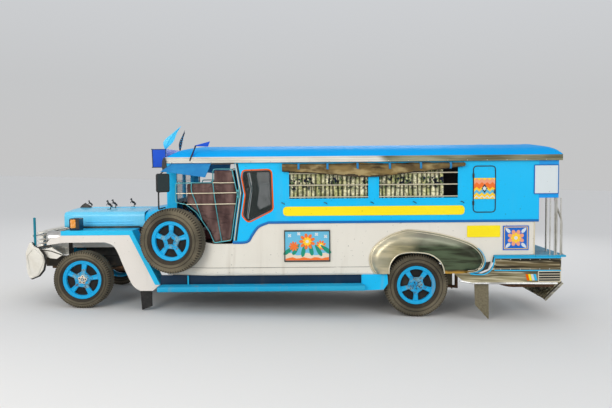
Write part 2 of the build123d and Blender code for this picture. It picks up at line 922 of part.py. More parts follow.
with BuildPart() as rear_header:
    with BuildSketch(plan(header_bottom_v)):
        with Locations(((upper_rear_u + header_rear_u) / 2, 0)):
            Rectangle(header_rear_u - upper_rear_u, 2 * body_half_width)
        with Locations(((upper_rear_u + header_rear_u - header_panel) / 2, 0)):
            Rectangle(header_rear_u - upper_rear_u - header_panel, 2 * side_inner_y, mode=Mode.SUBTRACT)
    extrude(amount=roof_bottom_v - header_bottom_v)
    with BuildSketch(cross(header_rear_u - header_panel - header_cut_margin)):
        with BuildLine():
            Polyline(
                (-entrance_low_half_width, header_bottom_v),
                (entrance_low_half_width, header_bottom_v),
                (entrance_high_half_width, entrance_top_v),
                (-entrance_high_half_width, entrance_top_v),
                close=True,
            )
        make_face()
    extrude(amount=header_panel + 2 * header_cut_margin, mode=Mode.SUBTRACT)
finish(rear_header, "rear_header")

# Rear fenders: teardrop shells that stand out over the rear wheels
rear_fender_bulge = 60
rear_fender_outline = [
    (3338, 73),
    (3284, 228),
    (3333, 357),
    (3467, 469),
    (3624, 535),
    (3769, 554),
    (4099, 503),
    (4390, 414),
    (4525, 325),
    (4584, 217),
    (4527, 91),
    (4400, 66),
    (4126, 66),
]
rear_arch = [(4126, 85), (4082, 193), (3956, 281), (3772, 302), (3618, 284), (3512, 207), (3493, 71)]

with BuildPart() as rear_fenders:
    with BuildSketch(side.offset(body_half_width)):
        with BuildLine():
            Polyline(*(rear_fender_outline + rear_arch), close=True)
        make_face()
    extrude(amount=rear_fender_bulge)
    mirror(about=Plane.XZ)
finish(rear_fenders, "rear_fenders")

# Running boards: a sill set back under the body and a step along it
board_top_v = -58
board_bottom_v = -112
board_front_u = fender_foot_u + seat_gap
board_rear_u = 3224
skirt_outline = [(3205, 50), (3490, 50), (3497, -57), (3448, -125), (3205, -134)]
sill_thickness = 20

with BuildPart() as running_boards:
    with BuildSketch(cross(board_front_u)):
        with Locations((-(sill_half_width + board_half_width) / 2, (board_top_v + board_bottom_v) / 2)):
            Rectangle(board_half_width - sill_half_width, board_top_v - board_bottom_v)
    extrude(amount=board_rear_u - board_front_u)
    with BuildSketch(side.offset(sill_half_width - sill_thickness)):
        with BuildLine():
            Polyline(
                (board_front_u, board_bottom_v),
                (board_rear_u, board_bottom_v),
                (board_rear_u, rail_top_v - seat_gap),
                (taper_end_u, rail_top_v - seat_gap),
                (taper_end_u, panel_bottom_v - seat_gap),
                (board_front_u, panel_bottom_v - seat_gap),
                close=True,
            )
        make_face()
    extrude(amount=sill_thickness)
    with BuildSketch(side.offset(side_inner_y)):
        with BuildLine():
            Polyline(*skirt_outline, close=True)
        make_face()
    extrude(amount=panel)
    mirror(about=Plane.XZ)
finish(running_boards, "running_boards")

# Rear fairings: bright boxes behind the wheels that turn the corner to the entrance
fairing_standoff = 35
fairing_half_width = body_half_width + fairing_standoff
entrance_half_width = 440
fairing_plate = 20
fairing_overhang = 292
fairing_rear_u = body_rear_u + fairing_overhang
fairing_top_v = 236
fairing_corner_v = -45
fairing_foot = (fairing_rear_u - 42, -67)
fairing_outline = [
    (4250, 44),
    (4330, -20),
    (4430, -62),
    fairing_foot,
    (fairing_rear_u, fairing_corner_v),
    (fairing_rear_u, fairing_top_v),
    (fairing_corner_u + 2 * seat_gap, fairing_top_v),
    (4680, 150),
    (4640, 90),
    (4560, 52),
    (4500, 44),
]
entrance_outline = [
    (fairing_rear_u - 192, fairing_top_v),
    (fairing_rear_u, fairing_top_v),
    (fairing_rear_u, fairing_corner_v),
    fairing_foot,
    (fairing_rear_u - 112, -40),
]

with BuildPart() as rear_fairings:
    with BuildSketch(side.offset(fairing_half_width)):
        with BuildLine():
            Polyline(*fairing_outline, close=True)
        make_face()
    extrude(amount=-fairing_plate)
    with BuildSketch(cross(fairing_rear_u)):
        with BuildLine():
            Polyline(
                (-fairing_half_width, fairing_corner_v),
                (-fairing_half_width, fairing_top_v),
                (-entrance_half_width, fairing_top_v),
                (-entrance_half_width, fairing_corner_v),
                close=True,
            )
        make_face()
    extrude(amount=-fairing_plate)
    with BuildSketch(side.offset(entrance_half_width)):
        with BuildLine():
            Polyline(*entrance_outline, close=True)
        make_face()
    extrude(amount=fairing_plate)
    mirror(about=Plane.XZ)
finish(rear_fairings, "rear_fairings")

# Rear deck: the entrance platform over the fairings
deck_thickness = 24
deck_bottom_v = fairing_top_v + seat_gap
deck_lip = 5
deck_side_width = 30
deck_side_y = fairing_half_width + deck_lip - deck_side_width / 2

with BuildPart() as rear_deck:
    with BuildSketch(plan(deck_bottom_v)):
        with Locations(((body_rear_u + deck_rear_u) / 2, 0)):
            Rectangle(deck_rear_u - body_rear_u - seat_gap, 2 * (fairing_half_width + deck_lip))
        with GridLocations(0, 2 * deck_side_y, 1, 2):
            with Locations(((fairing_corner_u + body_rear_u) / 2, 0)):
                Rectangle(body_rear_u - fairing_corner_u, deck_side_width)
    extrude(amount=deck_thickness)
finish(rear_deck, "rear_deck")

# Rear step: a sloping tread plate on two hangers from the chassis
step_half_width = 600
step_plate = 14
step_run = 205
step_foot_u = step_tip_u - step_run
step_foot_v = -301
step_slope = atan2(step_tip_v - step_foot_v, step_tip_u - step_foot_u)
hanger_width = 40
hanger_length = 80
hanger_front_u = rail_rear_u - hanger_length
hanger_foot_length = 95


def step_point(along, deep):
    """A point some way up the step plate and some way behind its outer face."""
    return (
        step_foot_u + along * cos(step_slope) - deep * sin(step_slope),
        step_foot_v + along * sin(step_slope) + deep * cos(step_slope),
    )


step_length = hypot(step_tip_u - step_foot_u, step_tip_v - step_foot_v)
hanger_outline = [
    (hanger_front_u, rail_bottom_v - seat_gap),
    (rail_rear_u, rail_bottom_v - seat_gap),
    step_point(hanger_foot_length, step_plate / 2),
    step_point(0, step_plate / 2),
]

with BuildPart() as rear_step:
    with BuildSketch(side.offset(-step_half_width)):
        with BuildLine():
            Polyline(
                step_point(0, 0),
                step_point(step_length, 0),
                step_point(step_length, step_plate),
                step_point(0, step_plate),
                close=True,
            )
        make_face()
    extrude(amount=2 * step_half_width)
    for hanger_y in (-rail_y, rail_y):
        with BuildSketch(side.offset(hanger_y - hanger_width / 2)):
            with BuildLine():
                Polyline(*hanger_outline, close=True)
            make_face()
        extrude(amount=hanger_width)
finish(rear_step, "rear_step")

# Handrails: bent tubes and straight bars from the deck to the rear header
handrail_r = 11
handrail_inset = 70
handrail_y = body_half_width - handrail_inset
handrail_foot_inset = 16
handrail_head_inset = 11
handrail_foot_u = deck_rear_u - handrail_foot_inset
handrail_head_u = header_rear_u - handrail_head_inset
handrail_bend_v = 620
handrail_head_drop = 24
handrail_bend_r = 80
bar_inset = 10
bar_ys = [560, body_half_width - bar_inset]
bar_set_back = 17
bar_u = header_rear_u - bar_set_back
deck_top_v = deck_bottom_v + deck_thickness

with BuildPart() as handrails:
    with BuildSketch(plan(deck_top_v)):
        for bar_y in bar_ys:
            with Locations((bar_u, bar_y), (bar_u, -bar_y)):
                Circle(handrail_r)
    extrude(amount=header_bottom_v - deck_top_v)
    for rail_side in (-1, 1):
        with BuildLine(side.offset(rail_side * handrail_y)) as bend:
            FilletPolyline(
                (handrail_foot_u, deck_top_v),
                (handrail_foot_u, handrail_bend_v),
                (handrail_head_u, header_bottom_v - handrail_head_drop),
                (handrail_head_u, header_bottom_v),
                radius=handrail_bend_r,
            )
        with BuildSketch(Plane(origin=bend.line @ 0, z_dir=bend.line % 0)):
            Circle(handrail_r)
        sweep(path=bend.line)
finish(handrails, "handrails")

# Window bars: three rails in each opening
bar_vs = [931, 1066, 1198]
window_bar_r = 8
bar_plane_y = body_half_width - panel / 2

with BuildPart() as window_bars:
    for row in windows:
        with BuildSketch(cross(row["front_u"] + seat_gap)):
            for bar_v in bar_vs:
                with Locations((bar_plane_y, bar_v), (-bar_plane_y, bar_v)):
                    Circle(window_bar_r)
        extrude(amount=row["rear_u"] - row["front_u"] - 2 * seat_gap)
finish(window_bars, "window_bars")

# Curtains behind the bars
curtain_depth = 36
curtain_drop = 20
curtain_head_gap = 24
curtain_bottom_v = window_bottom_v - curtain_drop
curtain_y = side_inner_y - seat_gap - curtain_depth / 2
curtains_table = [{"front_u": 2360, "rear_u": 3300}, {"front_u": 3370, "rear_u": 4130}]

with BuildPart() as curtains:
    for row in curtains_table:
        with BuildSketch(plan(curtain_bottom_v)):
            with GridLocations(0, 2 * curtain_y, 1, 2):
                with Locations(((row["front_u"] + row["rear_u"]) / 2, 0)):
                    Rectangle(row["rear_u"] - row["front_u"], curtain_depth)
        extrude(amount=roof_bottom_v - curtain_head_gap - curtain_bottom_v)
finish(curtains, "curtains")

# Rolled tarps over the windows
tarp_depth = 64
tarp_outline = [
    (2310, 1311),
    (2309, 1217),
    (2800, 1172),
    (3315, 1141),
    (3850, 1196),
    (4354, 1262),
    (4354, 1311),
]

with BuildPart() as window_tarps:
    with BuildSketch(side.offset(body_half_width + seat_gap)):
        with BuildLine():
            Polyline(*tarp_outline, close=True)
        make_face()
    extrude(amount=tarp_depth)
    mirror(about=Plane.XZ)
finish(window_tarps, "window_tarps")

# Benches along the load space and the driver's seat
bench_front_u = 2000
bench_rear_u = 5000
bench_inner_y = 470
bench_top_v = 585
cushion_height = 70
bench_board = 20
bench_panel_y = 500

with BuildPart() as bench_frames:
    with BuildSketch(cross(bench_front_u)):
        with Locations((bench_panel_y, (floor_v + bench_top_v - cushion_height) / 2)):
            Rectangle(bench_board, bench_top_v - cushion_height - floor_v)
        with Locations(
            (
                (bench_panel_y - bench_board / 2 + side_inner_y) / 2,
                bench_top_v - cushion_height - bench_board / 2,
            )
        ):
            Rectangle(side_inner_y - bench_panel_y + bench_board / 2, bench_board)
    extrude(amount=bench_rear_u - bench_front_u)
    mirror(about=Plane.XZ)
finish(bench_frames, "bench_frames")

with BuildPart() as bench_cushions:
    with BuildSketch(cross(bench_front_u)):
        with Locations(((bench_inner_y + side_inner_y) / 2, bench_top_v - cushion_height / 2)):
            Rectangle(side_inner_y - bench_inner_y - 2 * seat_gap, cushion_height - 2 * seat_gap)
    extrude(amount=bench_rear_u - bench_front_u)
    mirror(about=Plane.XZ)
finish(bench_cushions, "bench_cushions")

seat_front_u = 1300
seat_rear_u = 1760
seat_half_width = 700
seat_top_v = 560
seat_back_top_v = 1000
seat_back_depth = 90
seat_back_rake = 40

with BuildPart() as front_seat:
    with BuildSketch(side.offset(-seat_half_width)):
        with BuildLine():
            Polyline(
                (seat_front_u, floor_v + seat_gap),
                (seat_front_u, seat_top_v),
                (seat_rear_u - seat_back_depth, seat_top_v),
                (seat_rear_u - seat_back_depth + seat_back_rake, seat_back_top_v),
                (seat_rear_u + seat_back_rake, seat_back_top_v),
                (seat_rear_u, floor_v + seat_gap),
                close=True,
            )
        make_face()
    extrude(amount=2 * seat_half_width)
finish(front_seat, "front_seat")

# Steering column and wheel
column_y = -350
column_r = 22
column_foot_v = 420
column_slope = radians(31)
column_length = 562
column_foot_u = hood_rear_u + moving_gap + panel + column_r * sin(column_slope) + seat_gap
column_top_u = column_foot_u + column_length * cos(column_slope)
column_top_v = column_foot_v + column_length * sin(column_slope)
steering_ring_r = 190
steering_tube_r = 13
steering_spoke_width = 26

with BuildPart() as steering_column:
    column_start = place(column_foot_u, column_y, column_foot_v)
    column_end = place(column_top_u, column_y, column_top_v)
    column_line = column_end - column_start
    with BuildSketch(Plane(origin=column_start, z_dir=column_line)):
        Circle(column_r)
    extrude(amount=column_line.length)
    wheel_plane = Plane(origin=column_end, x_dir=(0, 1, 0), z_dir=column_line)
    with BuildSketch(wheel_plane.offset(-steering_tube_r)):
        Circle(steering_ring_r)
        Circle(steering_ring_r - 2 * steering_tube_r, mode=Mode.SUBTRACT)
        Rectangle(2 * steering_ring_r - 2 * steering_tube_r, steering_spoke_width)
        Circle(2 * column_r)
    extrude(amount=2 * steering_tube_r)
finish(steering_column, "steering_column")

# Engine block, exhaust and fuel tank
engine_front_u = -150
engine_length = 620
engine_half_width = 215
engine_bottom_v = rail_bottom_v + crossmember_height + seat_gap
engine_top_v = 560
tank_front_u = 2320
tank_length = 620
tank_bottom_v = -40
tank_inner_y = 440
tank_width = 300

with BuildPart() as engine:
    with BuildSketch(plan(engine_bottom_v)):
        with Locations((engine_front_u + engine_length / 2, 0)):
            Rectangle(engine_length, 2 * engine_half_width)
    extrude(amount=engine_top_v - engine_bottom_v)
finish(engine, "engine")

with BuildPart() as fuel_tank:
    with BuildSketch(plan(tank_bottom_v)):
        with Locations((tank_front_u + tank_length / 2, tank_inner_y + tank_width / 2)):
            Rectangle(tank_length, tank_width)
    extrude(amount=rail_top_v - seat_gap - tank_bottom_v)
finish(fuel_tank, "fuel_tank")

pipe_r = 25
pipe_y = -270
pipe_v = 30
pipe_front_u = 440
pipe_bend_u = 4350
pipe_bend_r = 180
muffler_r = 85
muffler_u = 2500
muffler_length = 560
tail_y = -750
tail_v = -107
tail_front_u = 4900
tail_set_back = 29
tail_rear_u = fairing_rear_u - tail_set_back
muffler_drop = 20
pipe_hanger_u = 3500
pipe_hanger_length = 30

with BuildPart() as exhaust:
    with BuildLine() as pipe_route:
        FilletPolyline(
            place(pipe_front_u, pipe_y, pipe_v),
            place(pipe_bend_u, pipe_y, pipe_v),
            place(tail_front_u, tail_y, tail_v),
            place(tail_rear_u, tail_y, tail_v),
            radius=pipe_bend_r,
        )
    with BuildSketch(Plane(origin=pipe_route.line @ 0, z_dir=pipe_route.line % 0)):
        Circle(pipe_r)
    sweep(path=pipe_route.line)
    with BuildSketch(cross(muffler_u)):
        with Locations((pipe_y, pipe_v - muffler_drop)):
            Circle(muffler_r)
    extrude(amount=muffler_length)
    with BuildSketch(cross(pipe_hanger_u)):
        with Locations(((pipe_y - rail_y) / 2, (pipe_v + rail_bottom_v) / 2)):
            Rectangle(rail_y + pipe_y, rail_bottom_v - pipe_v - 2 * seat_gap)
    extrude(amount=pipe_hanger_length)
finish(exhaust, "exhaust")

# Axles: a front beam with forks for the kingpins, and a rear tube with its housing
kingpin_y = 600
kingpin_r = 12
knuckle_r = 40
knuckle_half_height = 70
fork_thickness = 20
fork_gap = 2
fork_block_length = 80
fork_block_width = 50
fork_arm_length = 60
fork_arm_lap = 4
fork_boss_r = 30
axle_r = 36
rear_tube_r = 38
housing_r = 130
spindle_end_y = wheel_face_y - disc_inset
front_centre = Plane(origin=(front_axle_x, 0, front_tyre_r), x_dir=(1, 0, 0), z_dir=(0, -1, 0))
rear_centre = Plane(origin=(front_axle_x + wheelbase, 0, rear_tyre_r), x_dir=(1, 0, 0), z_dir=(0, -1, 0))
fork_inner_y = kingpin_y - knuckle_r - moving_gap
fork_half_height = knuckle_half_height + fork_thickness + fork_gap

with BuildPart() as front_axle:
    with BuildSketch(front_centre.offset(-fork_inner_y)):
        Circle(axle_r)
    extrude(amount=2 * fork_inner_y)
    for axle_side in (-1, 1):
        with BuildSketch(Plane.XY.offset(front_tyre_r - fork_half_height)):
            with Locations((front_axle_x, axle_side * (fork_inner_y - fork_block_width / 2))):
                Rectangle(fork_block_length, fork_block_width)
        extrude(amount=2 * fork_half_height)
        for fork_z in (-fork_half_height, fork_half_height - fork_thickness):
            with BuildSketch(Plane.XY.offset(front_tyre_r + fork_z)):
                with Locations((front_axle_x, axle_side * (fork_inner_y + kingpin_y) / 2)):
                    Rectangle(fork_arm_length, kingpin_y - fork_inner_y + fork_arm_lap)
                with Locations((front_axle_x, axle_side * kingpin_y)):
                    Circle(fork_boss_r)
            extrude(amount=fork_thickness)
        with BuildSketch(Plane.XY.offset(front_tyre_r - fork_half_height)):
            with Locations((front_axle_x, axle_side * kingpin_y)):
                Circle(kingpin_r)
        extrude(amount=2 * fork_half_height)
finish(front_axle, "front_axle")

with BuildPart() as rear_axle:
    with BuildSketch(rear_centre.offset(-kingpin_y)):
        Circle(rear_tube_r)
    extrude(amount=2 * kingpin_y)
    with BuildSketch(rear_centre.offset(-spindle_end_y)):
        Circle(spindle_r)
    extrude(amount=2 * spindle_end_y)
    with Locations(Location((front_axle_x + wheelbase, 0, rear_tyre_r))):
        Sphere(housing_r)
finish(rear_axle, "rear_axle")

for knuckle_side, knuckle_name in ((-1, "knuckle_left"), (1, "knuckle_right")):
    with BuildPart() as knuckle:
        with BuildSketch(Plane.XY.offset(front_tyre_r - knuckle_half_height)):
            with Locations((front_axle_x, knuckle_side * kingpin_y)):
                Circle(knuckle_r)
        extrude(amount=2 * knuckle_half_height)
        with BuildSketch(front_centre.offset(-knuckle_side * kingpin_y)):
            Circle(spindle_r)
        extrude(amount=-knuckle_side * (spindle_end_y - kingpin_y))
        with BuildSketch(Plane.XY.offset(front_tyre_r - knuckle_half_height)):
            with Locations((front_axle_x, knuckle_side * kingpin_y)):
                Circle(kingpin_r + running_gap)
        extrude(amount=2 * knuckle_half_height, mode=Mode.SUBTRACT)
    finish(knuckle, knuckle_name)

# Leaf springs: under the rails at the front, below the axle at the rear
leaf_height = 26
leaf_width = 60
front_spring_half = 430
front_seat_half = 60
rear_seat_half = 70
front_spring_v = axle_r + leaf_height / 2 + seat_gap
front_eye_v = rail_bottom_v - seat_gap - leaf_height / 2
rear_spring_v = rear_axle_v - rear_tube_r - leaf_height / 2 - seat_gap
rear_spring_front_u = 3330
rear_spring_rear_u = 4385
rear_spring_front_v = -100
rear_spring_rear_v = -190

with BuildPart() as leaf_springs:
    with BuildSketch(side.offset(rail_y - leaf_width / 2)):
        with BuildLine():
            Polyline(
                (-front_spring_half - leaf_width, front_eye_v),
                (-front_spring_half, front_eye_v),
                (-front_seat_half, front_spring_v),
                (front_seat_half, front_spring_v),
                (front_spring_half, front_eye_v),
                (front_spring_half + leaf_width, front_eye_v),
            )
        trace(line_width=leaf_height)
    extrude(amount=leaf_width)
    with BuildSketch(side.offset(rail_y - leaf_width / 2)):
        with BuildLine():
            Polyline(
                (rear_spring_front_u, rail_bottom_v - seat_gap),
                (rear_spring_front_u, rear_spring_front_v),
                (rear_axle_u - rear_seat_half, rear_spring_v),
                (rear_axle_u + rear_seat_half, rear_spring_v),
                (rear_spring_rear_u, rear_spring_rear_v),
                (rear_spring_rear_u, rail_bottom_v - seat_gap),
            )
        trace(line_width=leaf_height)
    extrude(amount=leaf_width)
    mirror(about=Plane.XZ)
finish(leaf_springs, "leaf_springs")


# Wheels: a dished disc with five windows in a lipped barrel, and a plain round tyre
rim_outer_r = bead_r - seat_gap
lip_gap = seat_gap
tyre_shoulder = 26
tyre_wall_drop = 18
tyre_edge_step = 8


def rim_section(depth_sign):
    """Half the rim's section, lip to lip, drawn along the axle from the outer face."""
    lip_in = depth_sign * lip_thickness
    width_in = depth_sign * rim_width
    inner_r = rim_outer_r - barrel_thickness
    with BuildSketch() as section:
        with BuildLine():
            Polyline(
                (0, inner_r),
                (0, lip_r),
                (lip_in, lip_r),
                (lip_in, rim_outer_r),
                (width_in - lip_in, rim_outer_r),
                (width_in - lip_in, lip_r),
                (width_in, lip_r),
                (width_in, inner_r),
                close=True,
            )
        make_face()
    return section.sketch


def tyre_section(outer_r, depth_sign):
    """The tyre's section, drawn along the axle from the rim's outer face."""
    bead_in = depth_sign * (lip_thickness + lip_gap)
    bead_out = depth_sign * (rim_width - lip_thickness - lip_gap)
    bulge = (tyre_width - rim_width) / 2
    wall_low = depth_sign * -bulge
    wall_high = depth_sign * (rim_width + bulge)
    wall_r = (lip_r + outer_r) / 2
    edge = outer_r - tyre_wall_drop
    bead_top = lip_r + lip_gap
    wall_step = depth_sign * tyre_edge_step
    shoulder_step = depth_sign * tyre_shoulder
    with BuildSketch() as section:
        with BuildLine():
            Polyline((bead_in, bead_top), (bead_in, bead_r), (bead_out, bead_r), (bead_out, bead_top))
            ThreePointArc((bead_out, bead_top), (wall_high, wall_r), (wall_high - wall_step, edge))
            Polyline(
                (wall_high - wall_step, edge),
                (wall_high - shoulder_step, outer_r),
                (wall_low + shoulder_step, outer_r),
                (wall_low + wall_step, edge),
            )
            ThreePointArc((wall_low + wall_step, edge), (wall_low, wall_r), (bead_in, bead_top))
        make_face()
    return section.sketch


def build_wheel(tag, face_plane, outer_r, inward, with_drum):
    """One rim and one tyre about face_plane's X axis, the rim's lip face at its origin."""
    spin_axis = Axis(face_plane.origin, face_plane.x_dir)
    disc_plane = Plane(origin=face_plane.origin, x_dir=(0, 0, 1), z_dir=face_plane.x_dir)
    with BuildPart() as rim:
        with BuildSketch(face_plane):
            add(rim_section(inward))
        revolve(axis=spin_axis)
        with BuildSketch(disc_plane.offset(inward * disc_inset)):
            Circle(rim_outer_r - barrel_thickness / 2)
            with PolarLocations(0, spoke_count):
                Polygon(
                    (spoke_hole_inner_r, -spoke_hole_inner_width / 2),
                    (spoke_hole_outer_r, -spoke_hole_outer_width / 2),
                    (spoke_hole_outer_r, spoke_hole_outer_width / 2),
                    (spoke_hole_inner_r, spoke_hole_inner_width / 2),
                    align=None,
                    mode=Mode.SUBTRACT,
                )
        extrude(amount=inward * disc_thickness)
        with BuildSketch(disc_plane.offset(inward * disc_inset)):
            Circle(hub_r)
        extrude(amount=inward * hub_length)
        if with_drum:
            with BuildSketch(disc_plane.offset(inward * (disc_inset + hub_length - drum_width / 2))):
                Circle(drum_r)
            extrude(amount=inward * drum_width)
        with BuildSketch(disc_plane):
            Circle(spindle_r + running_gap)
        extrude(amount=inward * rim_width, mode=Mode.SUBTRACT)
    finish(rim, f"rim_{tag}")
    with BuildPart() as tyre:
        with BuildSketch(face_plane):
            add(tyre_section(outer_r, inward))
        revolve(axis=spin_axis)
    finish(tyre, f"tyre_{tag}")


wheels = [
    {"tag": "front_left", "x": front_axle_x, "side": -1, "r": front_tyre_r},
    {"tag": "front_right", "x": front_axle_x, "side": 1, "r": front_tyre_r},
    {"tag": "rear_left", "x": front_axle_x + wheelbase, "side": -1, "r": rear_tyre_r},
    {"tag": "rear_right", "x": front_axle_x + wheelbase, "side": 1, "r": rear_tyre_r},
]
for row in wheels:
    lip_plane = Plane(
        origin=(row["x"], row["side"] * wheel_face_y, row["r"]), x_dir=(0, 1, 0), z_dir=(1, 0, 0)
    )
    build_wheel(row["tag"], lip_plane, row["r"], -row["side"], True)

# Spare wheel on the tapered left side of the cab, on a bracket from the panel
spare_u = 1064
spare_v = 460
spare_standoff = 201
taper_angle = atan2(body_half_width - post_half_width, taper_end_u - cowl_rear_u)
spare_panel_y = post_half_width + (spare_u - cowl_rear_u) * tan(taper_angle)
spare_lip_y = spare_panel_y + spare_standoff
spare_axis = Vector(0, cos(taper_angle), 0) + u_dir * sin(taper_angle)
spare_plane = Plane(
    origin=place(spare_u, -spare_lip_y, spare_v), x_dir=spare_axis, z_dir=spare_axis.cross(v_dir)
)
build_wheel("spare", spare_plane, rear_tyre_r, 1, False)

bracket_plane = Plane(origin=spare_plane.origin, x_dir=v_dir, z_dir=spare_axis)
spare_reach = spare_standoff * cos(taper_angle)
bracket_plate_r = 120
bracket_plate = 14
nut_r = 34
nut_height = 20

with BuildPart() as spare_bracket:
    with BuildSketch(bracket_plane.offset(disc_inset - nut_height)):
        Circle(nut_r)
    extrude(amount=nut_height - seat_gap)
    with BuildSketch(bracket_plane.offset(disc_inset - nut_height)):
        Circle(spindle_r)
    extrude(amount=spare_reach - seat_gap - disc_inset + nut_height)
    with BuildSketch(bracket_plane.offset(spare_reach - seat_gap - bracket_plate)):
        Circle(bracket_plate_r)
    extrude(amount=bracket_plate)
    with BuildSketch(bracket_plane.offset(disc_inset + hub_length + seat_gap)):
        Circle(hub_r)
    extrude(amount=spare_reach - seat_gap - disc_inset - hub_length - seat_gap)
finish(spare_bracket, "spare_bracket")

# Doorway gates of thin rod, hinged on the rear pillar, each with a cloth cover inside
rod = 14
gate_plane_y = body_half_width + rod
gate_frame = [
    (1115, 1103),
    (1110, 884),
    (1223, 862),
    (1340, 770),
    (1484, 552),
    (1536, 425),
    (1729, 454),
    (1761, 680),
    (1806, 962),
    (1747, 1255),
    (1534, 1256),
    (1531, 1103),
    (1115, 1103),
]
gate_bars = [
    [(1290, 1103), (1290, 1010), (1400, 690)],
    [(1531, 1103), (1545, 960), (1620, 438)],
    [(1531, 1103), (1778, 1103)],
    [(1112, 985), (1795, 990)],
    [(1360, 862), (1785, 864)],
]
pin_r = 6
sleeve_r = 11
sleeve_length = 26
sleeve_arm_length = 22
sleeve_arm_lap = 5
lug_thickness = 8
lug_length = 14
lug_width = 20
lug_set_back = 1
hinge_vs = [945, 1012]
pin_reach = 22
gate_axis_u = door_pillar_u
sleeve_arm_u = gate_axis_u - sleeve_r + sleeve_arm_lap - sleeve_arm_length / 2
cover_outline = [
    (1240, 1090),
    (1240, 880),
    (1345, 790),
    (1496, 570),
    (1548, 440),
    (1720, 466),
    (1750, 680),
    (1790, 962),
    (1740, 1240),
    (1548, 1240),
    (1545, 1115),
]
cover_thickness = 3

for gate_side, gate_name in ((-1, "left"), (1, "right")):
    with BuildPart() as gate:
        with BuildSketch(side.offset(-gate_side * gate_plane_y - rod / 2)):
            with BuildLine():
                Polyline(*gate_frame)
            trace(line_width=rod)
        extrude(amount=rod)
        for bar in gate_bars:
            with BuildSketch(side.offset(-gate_side * gate_plane_y - rod / 2)):
                with BuildLine():
                    Polyline(*bar)
                trace(line_width=rod)
            extrude(amount=rod)
        for hinge_v in hinge_vs:
            with BuildSketch(plan(hinge_v - sleeve_length / 2)):
                with Locations((gate_axis_u, gate_side * gate_plane_y)):
                    Circle(sleeve_r)
                with Locations((sleeve_arm_u, gate_side * gate_plane_y)):
                    Rectangle(sleeve_arm_length, rod)
            extrude(amount=sleeve_length)
        with BuildSketch(plan(hinge_vs[0] - sleeve_length)):
            with Locations((gate_axis_u, gate_side * gate_plane_y)):
                Circle(pin_r + running_gap)
        extrude(amount=hinge_vs[1] - hinge_vs[0] + 2 * sleeve_length, mode=Mode.SUBTRACT)
    finish(gate, f"gate_{gate_name}")
    with BuildPart() as cover:
        cover_inner_y = gate_plane_y - rod / 2 - seat_gap - cover_thickness
        with BuildSketch(side.offset(-gate_side * cover_inner_y)):
            with BuildLine():
                Polyline(*cover_outline, close=True)
            make_face()
        extrude(amount=-gate_side * cover_thickness)
    finish(cover, f"gate_cover_{gate_name}")

pin_bottom_v = hinge_vs[0] - sleeve_length / 2 - pin_reach
pin_top_v = hinge_vs[1] + sleeve_length / 2 + pin_reach

with BuildPart() as gate_pins:
    for pin_side in (-1, 1):
        with BuildSketch(plan(pin_bottom_v)):
            with Locations((gate_axis_u, pin_side * gate_plane_y)):
                Circle(pin_r)
        extrude(amount=pin_top_v - pin_bottom_v)
        for lug_v in (pin_bottom_v, pin_top_v - lug_thickness):
            with BuildSketch(plan(lug_v)):
                with Locations(
                    (gate_axis_u + lug_set_back, pin_side * (body_half_width + lug_width / 2))
                ):
                    Rectangle(lug_length, lug_width)
            extrude(amount=lug_thickness)
finish(gate_pins, "gate_pins")

# Mud flaps: black ones behind the front wheels, pale pointed ones behind the rear
front_flap = [(673, -60), (812, -60), (812, -299), (692, -346)]
rear_flap = [(4471, -32), (4634, -33), (4638, -479), (4481, -304)]
flap_thickness = 6

with BuildPart() as mudflaps:
    with BuildSketch(side.offset(fender_half_width - fender_face - seat_gap)):
        with BuildLine():
            Polyline(*front_flap, close=True)
        make_face()
    extrude(amount=-flap_thickness)
    with BuildSketch(side.offset(fairing_half_width - fairing_plate - seat_gap)):
        with BuildLine():
            Polyline(*rear_flap, close=True)
        make_face()
    extrude(amount=-flap_thickness)
    mirror(about=Plane.XZ)
finish(mudflaps, "mudflaps")
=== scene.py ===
import math

import bmesh
import bpy
from mathutils import Matrix, Vector, noise
from mathutils.geometry import delaunay_2d_cdt


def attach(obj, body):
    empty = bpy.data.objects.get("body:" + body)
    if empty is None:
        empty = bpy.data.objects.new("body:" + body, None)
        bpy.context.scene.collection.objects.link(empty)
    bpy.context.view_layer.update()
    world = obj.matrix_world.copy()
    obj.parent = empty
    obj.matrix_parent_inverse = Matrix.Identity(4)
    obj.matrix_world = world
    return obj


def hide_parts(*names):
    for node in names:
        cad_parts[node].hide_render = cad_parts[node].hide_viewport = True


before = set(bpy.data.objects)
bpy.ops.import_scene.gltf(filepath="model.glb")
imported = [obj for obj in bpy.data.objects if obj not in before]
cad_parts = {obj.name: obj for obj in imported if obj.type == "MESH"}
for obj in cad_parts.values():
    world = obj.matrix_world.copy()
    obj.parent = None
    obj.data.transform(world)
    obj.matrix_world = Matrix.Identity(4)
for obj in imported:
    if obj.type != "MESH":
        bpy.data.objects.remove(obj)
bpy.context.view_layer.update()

print("frame loaded")

# where things are: body axes in millimetres, u back from the front wheel centre, v up from it
stance = {
    "wheelbase": 3832, "frontR": 328, "rearR": 364, "halfTrack": 800, "drop": 92,
    "noseU": -700, "noseV": 334, "tailU": 5568, "tailV": -93,
}
axleRise = stance["rearR"] - stance["frontR"]
axleSpan = math.hypot(stance["wheelbase"], axleRise)
rake = math.atan2(axleRise, stance["wheelbase"]) + math.asin(stance["drop"] / axleSpan)
rearU = math.sqrt(axleSpan**2 - stance["drop"] ** 2)
cosRake, sinRake = math.cos(rake), math.sin(rake)
frontX = -(
    stance["noseU"] * cosRake - stance["noseV"] * sinRake
    + stance["tailU"] * cosRake - stance["tailV"] * sinRake
) / 2
uDir, vDir, outY = Vector((cosRake, 0, sinRake)), Vector((-sinRake, 0, cosRake)), Vector((0, -1, 0))
bothSides = ((-1, "left"), (1, "right"))


def at(u, y, v):
    x, z = frontX + u * cosRake - v * sinRake, stance["frontR"] + u * sinRake + v * cosRake
    return Vector((x / 1000, y / 1000, z / 1000))


def lineAt(y, points):
    # a line drawn side on, set at one distance from the middle
    return [at(u, y, v) for u, v in points]


